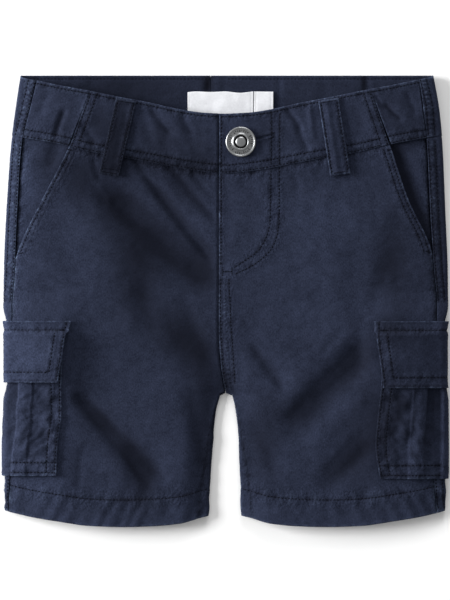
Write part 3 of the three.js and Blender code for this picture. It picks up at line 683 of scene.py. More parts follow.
def shares(length, pitch, rim=0.6):
    """Shares of a length for the lines of a mesh, closest at its two rims."""
    rims = rim * np.array([0, 0.12, 0.45, 1.0])
    inside = np.linspace(rim, length - rim, max(2, round((length - 2 * rim) / pitch)) + 1)[1:-1]
    return np.concatenate([rims, inside, length - rims[::-1]]) / length


def between(stops, t):
    """A value on straight stretches between stops, which may be arrays, at t counted in stretches."""
    total = stops[0] + 0 * t
    for k in range(len(stops) - 1):
        total = total + (stops[k + 1] - stops[k]) * np.clip(t - k, 0, 1)
    return total


def meet(edge_at, across, guess, t):
    """The height at which each line of a mesh meets an edge that runs across."""
    y = guess + 0 * t
    for _ in range(5):
        y = edge_at(np.abs(across(t, y)))
    return y


def panel_grid(side, along_at, t, v, y_top, y_end):
    """The grid of places of a piece between an edge above and one below."""

    def across(s, y):
        return place(side, y, along_at(s, y))[0]

    high = meet(y_top, across, 90.0, t)
    low = meet(y_end, across, -130.0, t)
    y = mix(high[None, :], low[None, :], v[:, None])
    return along_at(t[None, :], y), y


def new_mesh(name, points, quads, marks_and_shade, cut):
    """A mesh object from arrays in millimetres, with its marks of wear, patina, painted shade and sewing, and
    its place in the cloth.
    """
    mesh = bpy.data.meshes.new(name)
    mesh.vertices.add(len(points))
    mesh.vertices.foreach_set("co", (points * MM).astype(np.float32).ravel())
    mesh.loops.add(quads.size)
    mesh.loops.foreach_set("vertex_index", quads.astype(np.int32).ravel())
    mesh.polygons.add(len(quads))
    size = quads.shape[1]
    mesh.polygons.foreach_set("loop_start", np.arange(0, quads.size, size, dtype=np.int32))
    mesh.polygons.foreach_set("use_smooth", np.ones(len(quads), bool))
    for label, values in (("marks_and_shade", marks_and_shade), ("cut", cut)):
        layer = mesh.attributes.new(label, "FLOAT_VECTOR", "POINT")
        layer.data.foreach_set("vector", values.astype(np.float32).ravel())
    mesh.update(calc_edges=True)
    mesh.validate()
    made = bpy.data.objects.new(name, mesh)
    bpy.context.scene.collection.objects.link(made)
    return made


def wall_quads(rows, columns, flip):
    """The faces of a closed wall between an outer and an inner grid of points."""
    index = np.arange(2 * rows * columns).reshape(2, rows, columns)

    def faces(a, b, c, d):
        return np.stack([a, b, c, d], axis=-1).reshape(-1, 4)

    outer, inner = index
    made = [
        faces(outer[:-1, :-1], outer[:-1, 1:], outer[1:, 1:], outer[1:, :-1]),
        faces(inner[:-1, :-1], inner[1:, :-1], inner[1:, 1:], inner[:-1, 1:]),
        faces(outer[0, :-1], inner[0, :-1], inner[0, 1:], outer[0, 1:]),
        faces(outer[-1, :-1], outer[-1, 1:], inner[-1, 1:], inner[-1, :-1]),
        faces(outer[:-1, 0], outer[1:, 0], inner[1:, 0], inner[:-1, 0]),
        faces(outer[:-1, -1], inner[:-1, -1], inner[1:, -1], outer[1:, -1]),
    ]
    quads = np.concatenate(made)
    return quads[:, ::-1] if flip else quads


def rim_distances(along, y):
    """The distance of each grid place from the start, end, upper and lower edge of a piece."""
    return (
        np.abs(along - along[:, :1]),
        np.abs(along - along[:, -1:]),
        np.abs(y - y[:1]),
        np.abs(y - y[-1:]),
    )


def rounding(rims, thickness, shares=(1, 1, 1, 1)):
    """How far the faces draw in at the rims, to round them; a share below 1 leaves a rim squarer."""
    tuck = np.zeros(rims[0].shape)
    for d, share in zip(rims, shares):
        half = share * thickness / 2
        short = np.clip(half - d, 0, None)
        tuck = np.maximum(tuck, half - np.sqrt(np.maximum(half**2 - short**2, 0)))
    return tuck


def make_cloth(sheet, along, y, worn_edges=(0, 0, 0, 0), inner=None, rim_shares=(1, 1, 1, 1)):
    """The closed shell of a piece, with rounded rims, worn lighter along the edges that rub.

    inner, where it is given, works out the inner face's height over the form from along and y."""
    outer, worn, dark, sewn = sheet.lift(along, y)
    if inner is None:
        base = outer - shell_of()
    else:
        base = np.minimum(inner(along, y) + sheet.soft * soft_cloth(sheet.side, along, y), outer - THINNEST)
    rims = rim_distances(along, y)
    tuck = rounding(rims, np.minimum(outer - base, 1.2), rim_shares)
    scuff = 0.2 + 0.9 * np.clip(0.45 + 1.9 * noise(along, y, 2.0, 23), 0, 1)
    for d, weight in zip(rims, worn_edges):
        worn = worn + weight * hump(d, 0.8) * scuff
        sewn = np.maximum(sewn, min(1, weight) * hump(d, 1.5))
    worn, dark = np.clip(worn, 0, 1.5), np.clip(dark, 0, 1)
    marks_and_shade = np.stack([worn, dark, sewn], axis=-1).reshape(-1, 3)
    x = sheet.side * place(sheet.side, y, along)[0]
    # The inner faces are painted in shade all over, with more painted shade or some painted light in the
    # listed areas of the back waistband's inside.
    painted_inner_shade = INSIDE_SHADE + painted_areas(INSIDE_PAINTED_SHADE, x, y)
    inside = np.stack([0.3 * worn, painted_inner_shade, 0 * sewn], axis=-1).reshape(-1, 3)
    cut = np.stack([along * MM, y * MM, 0 * y], axis=-1).reshape(-1, 3)
    points = [
        cloth_point(sheet.side, y, along, outer - tuck).reshape(-1, 3),
        cloth_point(sheet.side, y, along, base + tuck).reshape(-1, 3),
    ]
    quads = wall_quads(*along.shape, flip=sheet.side < 0)
    marks, places = np.concatenate([marks_and_shade, inside]), np.concatenate([cut, cut])
    made = new_mesh(sheet.name, np.concatenate(points), quads, marks, places)
    made.data.materials.append(material("washed_twill"))
    SEWN.extend((sheet, row) for row in sheet.rows if row.sewn)
    return made


def declare(piece, nodes):
    """Rides a cloth piece on the garment, in place of its solids."""
    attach(piece, "root")
    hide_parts(*nodes)


SEWN = []


def lapped(side, y, start, full):
    return smooth((y - CROTCH_Y - start) / (full - start)) if side < 0 else 0 * y


def lap_drop(short, depth):
    return depth * smooth((LAP_FROM - short) / LAP_RAMP)


def seam_level(side, along, y):
    """The height of the waistband's lower edge above or below a point of the cloth."""
    x, _ = place(side, y, along)
    return np.where(along > 0, band_seam_of(x), BACK_SEAM_Y)


def tuck_under(side, along, y):
    """How far a panel sinks to pass under the waistband's lip, least at the side fold."""
    depth = mix(0.15, TUCK_DROP, smooth((np.abs(along) - 3) / 4))
    return depth * smooth((y - seam_level(side, along, y) + 1.6) / 1.8)


def band_outer(along):
    """The waistband's outer face, which is nearly flush with the panels at the side fold."""
    return mix(0.15, BAND_OUT, smooth((np.abs(along) - 3) / 5))


def band_inner(side, along, y):
    """The waistband's inner face, which is thin along the lip over the panels."""
    above = y - seam_level(side, along, y)
    return mix(band_outer(along) - LIP_THICK, -BAND_IN, smooth((above - LIP) / 1.4))


def nodes_of(material):
    tree = material.node_tree
    tree.nodes.clear()
    return tree, tree.nodes, tree.links


class Shader:
    """A short way to write a material's nodes and links."""

    def __init__(self, name):
        self.material = bpy.data.materials.new(name)
        self.material.use_nodes = True
        self.tree, self.nodes, self.links = nodes_of(self.material)

    def add(self, kind, label="", **values):
        node = self.nodes.new(kind)
        node.label = label
        for key, value in values.items():
            setattr(node, key, value)
        return node

    def link(self, source, target):
        self.links.new(source, target)

    def maths(self, operation, a, b=None, clamp=False):
        node = self.add("ShaderNodeMath", operation=operation, use_clamp=clamp)
        for socket, value in zip(node.inputs, (a, b)):
            if value is None:
                continue
            if isinstance(value, (int, float)):
                socket.default_value = value
            else:
                self.link(value, socket)
        return node.outputs[0]

    def noise(self, vector, scale, detail=2.0, roughness=0.5):
        node = self.add("ShaderNodeTexNoise")
        node.inputs["Scale"].default_value = scale
        node.inputs["Detail"].default_value = detail
        node.inputs["Roughness"].default_value = roughness
        self.link(vector, node.inputs["Vector"])
        return node.outputs["Fac"]

    def mapped(self, vector, turn=0.0, stretch=(1, 1, 1)):
        node = self.add("ShaderNodeMapping")
        node.inputs["Rotation"].default_value = (0, 0, turn)
        node.inputs["Scale"].default_value = stretch
        self.link(vector, node.inputs["Vector"])
        return node.outputs[0]

    def waves(self, vector, pitch):
        node = self.add("ShaderNodeTexWave", wave_type="BANDS", bands_direction="X", wave_profile="SIN")
        node.inputs["Scale"].default_value = 2 * math.pi / (20 * pitch)
        self.link(vector, node.inputs["Vector"])
        return node.outputs["Fac"]

    def blend(self, a, b, share, mode="MIX"):
        node = self.add("ShaderNodeMix", data_type="RGBA", blend_type=mode)
        for socket, value in ((node.inputs[6], a), (node.inputs[7], b)):
            if isinstance(value, (tuple, list)):
                socket.default_value = (*value[:3], 1)
            else:
                self.link(value, socket)
        if isinstance(share, (int, float)):
            node.inputs[0].default_value = share
        else:
            self.link(share, node.inputs[0])
        return node.outputs[2]

    def bump(self, height, distance, strength=1.0, normal=None):
        node = self.add("ShaderNodeBump")
        node.inputs["Strength"].default_value = strength
        node.inputs["Distance"].default_value = distance
        self.link(height, node.inputs["Height"])
        if normal is not None:
            self.link(normal, node.inputs["Normal"])
        return node.outputs[0]


def twill_material(look):
    """Washed twill: a steep fine wale, slubs, soft blotches of wash, light worn tops, and the dark mark,
    which blends in the dye's own tone and painted shade.
    """
    s = Shader("washed_twill")
    cut = s.add("ShaderNodeAttribute", attribute_name="cut").outputs["Vector"]
    marks = s.add("ShaderNodeSeparateXYZ")
    s.link(s.add("ShaderNodeAttribute", attribute_name="marks_and_shade").outputs["Vector"], marks.inputs[0])
    worn, dark, sewn = marks.outputs
    cloud = s.noise(cut, 38, 4, 0.6)
    mottle = s.noise(cut, 230, 3, 0.65)
    slub = s.noise(s.mapped(cut, stretch=(1, 0.6, 1)), 1300, 2, 0.6)
    fine = s.noise(cut, 2600, 1, 0.5)
    wale = s.waves(s.mapped(cut, turn=math.radians(62)), look.wale_pitch)
    yarn = s.waves(s.mapped(cut, turn=math.radians(-8)), 0.8 * look.wale_pitch)
    tone = s.maths("ADD", s.maths("MULTIPLY", cloud, 0.8), s.maths("MULTIPLY", mottle, 0.9))
    tone = s.maths("ADD", tone, s.maths("MULTIPLY", slub, 1.7))
    tone = s.maths("ADD", tone, s.maths("MULTIPLY", fine, 0.8))
    tone = s.maths("SUBTRACT", tone, 1.6, clamp=True)
    colour = s.blend(tuple(look.twill_dark), tuple(look.twill_light), tone)
    speck = s.noise(cut, 700, 2, 0.6)
    spots = s.maths("MULTIPLY", s.maths("SUBTRACT", speck, 0.42, clamp=True), 4.5, clamp=True)
    rubbed = s.maths("MULTIPLY", worn, s.maths("ADD", s.maths("MULTIPLY", spots, 0.75), 0.12), clamp=True)
    colour = s.blend(colour, tuple(look.worn), rubbed)
    # The dark mark blends in the dark colour: the dye's own tone, and painted shade in hollows, folds, inner
    # faces and broad areas.
    colour = s.blend(colour, tuple(look.hollow), s.maths("MULTIPLY", dark, 0.88, clamp=True))
    weave = s.maths("ADD", wale, s.maths("MULTIPLY", yarn, 0.5))
    weave = s.maths("ADD", weave, s.maths("MULTIPLY", slub, 1.6))
    normal = s.bump(weave, 0.00006, 0.7)
    normal = s.bump(mottle, 0.00035, 0.5, normal)
    pulled = s.maths("MULTIPLY", sewn, s.noise(cut, 560, 1, 0.5))
    normal = s.bump(pulled, 0.0009, 0.8, normal)
    shader = s.add("ShaderNodeBsdfPrincipled")
    shader.inputs["Roughness"].default_value = 0.9
    shader.inputs["Specular IOR Level"].default_value = 0.06
    shader.inputs["Sheen Weight"].default_value = 0.02
    shader.inputs["Sheen Roughness"].default_value = 0.45
    shader.inputs["Sheen Tint"].default_value = (0.62, 0.7, 1.0, 1)
    s.link(colour, shader.inputs["Base Color"])
    s.link(normal, shader.inputs["Normal"])
    s.link(shader.outputs[0], s.add("ShaderNodeOutputMaterial").inputs[0])
    return s.material


def thread_material(look):
    """Matt sewing thread, with a ply twist."""
    s = Shader("sewing_thread")
    where = s.add("ShaderNodeTexCoord").outputs["Object"]
    twist = s.noise(where, 2600, 1)
    uneven = s.noise(where, 160, 2)
    colour = s.blend(tuple(look.thread), tuple(0.45 * c for c in look.thread), uneven)
    shader = s.add("ShaderNodeBsdfPrincipled")
    shader.inputs["Roughness"].default_value = 0.7
    shader.inputs["Specular IOR Level"].default_value = 0.05
    s.link(colour, shader.inputs["Base Color"])
    s.link(s.bump(twist, 0.00005, 0.6), shader.inputs["Normal"])
    s.link(shader.outputs[0], s.add("ShaderNodeOutputMaterial").inputs[0])
    return s.material


def tape_material(look):
    """White woven tape with fine ribs across it."""
    s = Shader("woven_tape")
    where = s.add("ShaderNodeTexCoord").outputs["Object"]
    ribs = s.waves(s.mapped(where, turn=math.pi / 2), 0.00045)
    threads = s.waves(where, 0.0003)
    grain = s.noise(where, 900, 2)
    colour = s.blend(tuple(look.tape), tuple(0.8 * c for c in look.tape), grain)
    shader = s.add("ShaderNodeBsdfPrincipled")
    shader.inputs["Roughness"].default_value = 0.55
    shader.inputs["Sheen Weight"].default_value = 0.15
    s.link(colour, shader.inputs["Base Color"])
    weave = s.maths("ADD", ribs, s.maths("MULTIPLY", threads, 0.5))
    s.link(s.bump(weave, 0.00004, 0.7), shader.inputs["Normal"])
    s.link(shader.outputs[0], s.add("ShaderNodeOutputMaterial").inputs[0])
    return s.material


def metal_material(look):
    """Antique silver: bright where it is rubbed, dark in the hollows."""
    s = Shader("antique_silver")
    marks = s.add("ShaderNodeSeparateXYZ")
    s.link(s.add("ShaderNodeAttribute", attribute_name="marks_and_shade").outputs["Vector"], marks.inputs[0])
    where = s.add("ShaderNodeTexCoord").outputs["Object"]
    stain = s.noise(where, 420, 4, 0.6)
    scratch = s.noise(s.mapped(where, turn=0.5, stretch=(1, 0.12, 1)), 2600, 2, 0.6)
    shade = s.maths("ADD", marks.outputs[1], s.maths("MULTIPLY", stain, 0.35), clamp=True)
    colour = s.blend(tuple(look.metal), tuple(look.metal_dark), shade)
    shader = s.add("ShaderNodeBsdfPrincipled")
    shader.inputs["Metallic"].default_value = 1.0
    s.link(colour, shader.inputs["Base Color"])
    s.link(s.maths("ADD", s.maths("MULTIPLY", stain, 0.3), 0.22), shader.inputs["Roughness"])
    s.link(s.bump(scratch, 0.00003, 0.5), shader.inputs["Normal"])
    s.link(shader.outputs[0], s.add("ShaderNodeOutputMaterial").inputs[0])
    return s.material


def floor_material(look):
    """A pale matt surface with a faint grain."""
    s = Shader("pale_surface")
    where = s.add("ShaderNodeTexCoord").outputs["Object"]
    grain = s.noise(where, 40, 3)
    pale = tuple(look.surface)
    colour = s.blend(pale, tuple(0.985 * c for c in pale), grain)
    shader = s.add("ShaderNodeBsdfPrincipled")
    shader.inputs["Roughness"].default_value = 0.9
    shader.inputs["Specular IOR Level"].default_value = 0.1
    s.link(colour, shader.inputs["Base Color"])
    s.link(shader.outputs[0], s.add("ShaderNodeOutputMaterial").inputs[0])
    return s.material


MAKERS = {
    "washed_twill": twill_material,
    "sewing_thread": thread_material,
    "woven_tape": tape_material,
    "antique_silver": metal_material,
    "pale_surface": floor_material,
}


def material(name):
    """The material of that name, made the first time it is asked for."""
    return bpy.data.materials.get(name) or MAKERS[name](bpy.context.scene.shorts_look)


class ShortsLook(bpy.types.PropertyGroup):
    """Colours and textures of the shorts."""

    twill_dark: FloatVectorProperty(
        name="Twill, dark", description="Twill in its darker slubs", subtype="COLOR",
        default=(0.0118, 0.0155, 0.0305), min=0, max=1,
    )
    twill_light: FloatVectorProperty(
        name="Twill, light", description="Twill in its lighter slubs", subtype="COLOR",
        default=(0.039, 0.0492, 0.091), min=0, max=1,
    )
    worn: FloatVectorProperty(
        name="Worn twill", description="Twill where an edge or a seam has rubbed pale", subtype="COLOR",
        default=(0.085, 0.115, 0.19), min=0, max=1,
    )
    # The dark colour: blended in everywhere as the dye's own tone, and further as painted shade.
    hollow: FloatVectorProperty(
        name="Hollows", description="Twill in the hollows of sewn rows", subtype="COLOR",
        default=(0.0035, 0.0042, 0.0085), min=0, max=1,
    )
    thread: FloatVectorProperty(
        name="Thread", description="Sewing thread", subtype="COLOR",
        default=(0.0035, 0.0042, 0.0085), min=0, max=1,
    )
    tape: FloatVectorProperty(
        name="Label tape", description="Woven label", subtype="COLOR",
        default=(0.72, 0.73, 0.765), min=0, max=1,
    )
    metal: FloatVectorProperty(
        name="Metal, rubbed", description="Button where it is rubbed bright", subtype="COLOR",
        default=(0.4, 0.41, 0.42), min=0, max=1,
    )
    metal_dark: FloatVectorProperty(
        name="Metal, hollows", description="Button in its hollows", subtype="COLOR",
        default=(0.022, 0.022, 0.022), min=0, max=1,
    )
    surface: FloatVectorProperty(
        name="Surface", description="The surface the shorts lie on", subtype="COLOR",
        default=(0.95, 0.95, 0.95), min=0, max=1,
    )
    wale_pitch: FloatProperty(
        name="Wale pitch", description="Spacing of the twill's slanted lines", unit="LENGTH",
        default=0.00055, min=0.0002, max=0.002, precision=5,
    )
    gathers: FloatProperty(
        name="Gathers", description="How strongly the sewn rows gather the cloth", subtype="FACTOR",
        default=1.0, min=0, max=2,
    )


class ShortsSizes(bpy.types.PropertyGroup):
    """Sizes of the sewing and of the meshes."""

    shell: FloatProperty(
        name="Cloth", description="Thickness of one layer of cloth", unit="LENGTH",
        default=0.0008, min=0.0004, max=0.0011, precision=5,
    )
    mesh_pitch: FloatProperty(
        name="Mesh pitch", description="Spacing of the lines of the front's mesh", unit="LENGTH",
        default=0.001, min=0.0008, max=0.004, precision=5,
    )
    stitch: FloatProperty(
        name="Stitch", description="Length of one stitch, from hole to hole", unit="LENGTH",
        default=0.0021, min=0.0015, max=0.006, precision=5,
    )
    thread: FloatProperty(
        name="Thread", description="Thickness of the sewing thread", unit="LENGTH",
        default=0.0006, min=0.0002, max=0.001, precision=5,
    )


def pitch_of(factor):
    return bpy.context.scene.shorts_sizes.mesh_pitch / MM * factor


def shell_of():
    return bpy.context.scene.shorts_sizes.shell / MM


def front_rows(side):
    """The sewn rows of a front."""
    mouth = [
        Row(seam_path(side, 93, 30, 2.0, mouth_of), rise=0.14, pitch=6, width=4, seed=3 + side, glow=0.6),
        Row(seam_path(side, 93, 30, 5.1, mouth_of), sink=0.12, rise=0.1, pitch=6, width=3, seed=5 + side,
            sewn=side > 0, glow=0.3),
    ]
    below = Row(cross_path(side, 6, 94, band_seam_of, -1), sink=0.1, rise=0.28, pitch=7.5, width=4.5,
                seed=9 + side, sewn=False, glow=0.35)
    beside = Row(seam_path(side, 26, -128, 0.6), sink=0.2, rise=0.15, pitch=7, width=4, seed=13 + side,
                 sewn=False, glow=0.5)
    c0, c1 = (11.4, 133) if side < 0 else (11, 130)
    hem = Row(cross_path(side, c0, c1, hem_of, HEM_DEPTH), sink=0.3, rise=0.24, pitch=9, width=6,
              seed=17 + side, glow=0.5)
    leg = Row(leg_seam_path(side), sink=0.15, rise=0.1, pitch=6, width=2.5, seed=19 + side,
              sewn=False, glow=0.4)
    rows = mouth + [below, beside, hem, leg]
    if side > 0:
        rows += fly_rows() + centre_rows()
    return rows


def leg_seam_path(side):
    """The inseam, which comes a little way onto the front towards the hem."""
    y = np.linspace(CROTCH_Y - 8, -129, 16)
    c = side * MIDDLE(f"{NAMES[side]}_leg", y) + 6 * smooth((CROTCH_Y - y) / 70)
    return np.stack([along_of(side, y, c), y], axis=1)


def fly_rows():
    """The two rows of the fly's curve, and the row along its edge."""
    inner = rounded([(27.7, 80), (27.2, 49), (25.8, 42), (20.4, 31.4), (13, 25.5), (5.8, 20.9)])
    outer = rounded([(32.7, 82), (32.6, 49), (31.1, 39), (27.3, 31), (16.5, 21.8), (5.8, 16.5)])
    edge = [(-2.7, 77), (-2.8, 50), (-2.9, 22)]
    return [
        Row(plan_path(RIGHT, inner, 1), rise=0.16, pitch=5.5, width=4.5, seed=31),
        Row(plan_path(RIGHT, outer, 1), rise=0.12, pitch=6.5, width=3, seed=33),
        Row(plan_path(RIGHT, edge, 12), rise=0.1, pitch=6, width=2.4, seed=35),
    ]


def centre_rows():
    """The two rows beside the centre front seam, with short puckers between them."""
    first = [(-3, 14), (-3.2, 0), (-2.9, -19), (-2, -35), (-1.0, -46), (0.6, -53)]
    second = [(1.9, 14), (2.6, 0), (3.2, -13), (4.1, -25), (5.0, -40), (5.7, -50)]
    return [
        Row(plan_path(RIGHT, first, 5), rise=0.2, pitch=4.0, width=2.8, seed=37, glow=0.6),
        Row(plan_path(RIGHT, second, 5), rise=0.15, pitch=4.0, width=2.4, seed=37, glow=0.5),
        ladder(plan_path(RIGHT, [(0.5 * (a[0] + b[0]), a[1]) for a, b in zip(first, second)], 5), 39),
    ]


def ladder(path, seed, rise=0.32, glow=1.5):
    """The short puckers between two rows that run side by side."""
    return Row(path, sink=0, rise=rise, pitch=2.6, width=1.6, seed=seed, sewn=False, glow=glow, even=True)


def hem_relief(side):
    """The hem's second layer, and the slanted ripples of its turned edge."""

    def relief(along, y):
        c, _ = place(side, y, along)
        above = y - hem_of(c)
        turned = 0.3 * (1 - smooth((above - HEM_DEPTH + 0.6) / 1.2))
        lean = c + 0.5 * above
        ripple = 0.32 * waves(lean, 10, 41 + side) + 0.22 * noise(lean, 0.4 * above, 4, 43)
        rope = ripple * smooth((HEM_DEPTH + 1 - above) / 5)
        return np.where(along > 0, turned + rope, 0)

    return relief


class SHORTS_OT_fronts(bpy.types.Operator):
    """Lay the two fronts, from the pocket mouths and side seams to the fly and inseams"""

    bl_idname = "shorts.fronts"
    bl_label = "Fronts"

    def execute(self, context):
        for side in (LEFT, RIGHT):
            self.front(side)
        return {"FINISHED"}

    def front(self, side):
        def outer_of(y):
            seam = seam_of(side, y)
            return np.where(y > MOUTH_END_Y, np.minimum(mouth_of(side, y), seam), seam)

        def edge_along(y):
            return reach(side, y, True)

        def along_at(t, y):
            lap = lapped(side, y, LAP_FULL, LAP_FULL + LAP_START)
            start = along_of(side, y, outer_of(y)) + GAP / 2
            return mix(start, edge_along(y) + mix(-GAP / 2, SEAM_UNDER, lap), t)

        def height(along, y):
            lap = lapped(side, y, LAP_START, LAP_FULL)
            drop = lap * lap_drop(edge_along(y) - along, CLOTH + GAP + LAP_EASE)
            return -drop - tuck_under(side, along, y)

        sheet = Sheet(f"front_{NAMES[side]}", side, height, front_rows(side), own=hem_relief(side))
        t, v = shares(125, pitch_of(1)), shares(215, pitch_of(1))
        along, y = panel_grid(side, along_at, t, v, lambda x: band_seam_of(x) + TUCK_UP, hem_of)
        edges = (1.4, 0.0 if side < 0 else 1.3, 0, 0.8)
        piece = make_cloth(sheet, along, y, edges)
        declare(piece, [f"front_panel_{NAMES[side]}"])


class SHORTS_OT_backs(bpy.types.Operator):
    """Lay the two backs, from the side seams on the front round to the centre back"""

    bl_idname = "shorts.backs"
    bl_label = "Backs"

    def execute(self, context):
        for side, area in ((LEFT, 31000), (RIGHT, 33500)):
            self.back(side, area)
        return {"FINISHED"}

    def back(self, side, area):
        quarter = math.pi / 2 * SIDE_RADIUS

        def along_at(t, y):
            start = along_of(side, y, seam_of(side, y)) - GAP / 2
            return between([start, -quarter, -(reach(side, y, False) - GAP / 2)], t)

        def relief(along, y):
            c, _ = place(side, y, along)
            drawn = creases(BACK_CREASES, side * c, y) + 0.12 * (noise(c, y, 17, 51) - 1)
            below = np.where(along < 0, drawn * smooth((-along - 6) / 12), 0)
            return below + hem(along, y)

        hem = hem_relief(side)
        rows = [
            Row(seam_path(side, 98, 0, -1.0), sink=0.3, rise=0.22, pitch=6, width=3,
                seed=61 + side, glow=0.8),
            Row(seam_path(side, 98, 0, -5.0), sink=0.25, rise=0.2, pitch=6, width=2.6,
                seed=61 + side, glow=0.7),
            ladder(seam_path(side, 98, 0, -3.0, count=60), 67 + side),
            ladder(seam_path(side, -108, -127, -3.0), 69 + side),
            Row(seam_path(side, -108, -127, -1.0), sink=0.3, rise=0.2, pitch=6, width=2.6, seed=65, glow=0.7),
            Row(seam_path(side, -108, -127, -5.0), sink=0.25, rise=0.2, pitch=6, width=2.6,
                seed=65, glow=0.6),
        ]
        sheet = Sheet(f"back_{NAMES[side]}", side, lambda a, y: -tuck_under(side, a, y), rows, own=relief)
        fold = shares(12, pitch_of(0.8))
        t = np.concatenate([fold[:-4], 1 + shares(125, pitch_of(2.4))[3:]])
        v = shares(235, pitch_of(1.5))

        def upper(x):
            return np.where(x > edge_of(side, 98.0) - 14, band_seam_of(x), BACK_SEAM_Y) + TUCK_UP

        along, y = panel_grid(side, along_at, t, v, upper, hem_of)
        piece = make_cloth(sheet, along, y, (0.9, 0.2, 0, 0.8), rim_shares=(1, 0.3, 1, 1))
        declare(piece, [f"back_panel_{NAMES[side]}"])


class SHORTS_OT_pocket_facings(bpy.types.Operator):
    """Set the cloth that shows behind the slanted pocket mouths"""

    bl_idname = "shorts.pocket_facings"
    bl_label = "Pocket facings"

    def execute(self, context):
        for side, area in ((LEFT, 1500), (RIGHT, 1300)):
            self.facing(side, area)
        return {"FINISHED"}

    def facing(self, side, area):
        def along_at(t, y):
            c = mix(seam_of(side, y), mouth_of(side, y) - FACING_UNDER, t)
            return along_of(side, y, c) + GAP / 2

        def lower(x):
            return FACING_END_Y + 0 * x

        rows = [Row(seam_path(side, 98, 30, 0.4), sink=0.25, rise=0.25, pitch=8, width=5, seed=71 + side,
                    sewn=False, glow=0.5)]

        def height(along, y):
            x = side * place(side, y, along)[0]
            return np.maximum(creases(FACING_CREASES, x, y), FACING_DEEPEST) - FACING_DROP

        def shade(along, y):
            beyond = place(side, y, along)[0] - mouth_of(side, y)
            return FACING_SHADE[side] * (1 - smooth((beyond - 2) / 8)) + 0 * along

        sheet = Sheet(f"facing_{NAMES[side]}", side, height, rows, shade=shade)
        t, v = shares(26, pitch_of(0.9)), shares(68, pitch_of(0.9))
        along, y = panel_grid(side, along_at, t, v, lambda x: band_seam_of(x) + TUCK_UP, lower)
        piece = make_cloth(sheet, along, y, (0.2, 0, 0, 0))
        nodes = [f"pocket_facing_{NAMES[side]}"]
        declare(piece, nodes)


def band_rows(side, c0, c1):
    """The waistband's rows across the front: two over its lower seam and one under its top edge."""
    return [
        Row(cross_path(side, c0, c1, band_seam_of, 0.95), rise=0.2, pitch=6.5, width=3,
            seed=81 + side, glow=0.6),
        Row(cross_path(side, c0, c1, band_seam_of, 5.2), rise=0.16, pitch=7, width=3,
            seed=83 + side, glow=0.4),
        Row(cross_path(side, c0, c1, band_top_of, -1.9), rise=0.22, pitch=7, width=3,
            seed=85 + side, glow=0.6),
        ladder(cross_path(side, c0, c1, band_seam_of, 3.0), 89 + side, 0.22, 0.6),
    ]


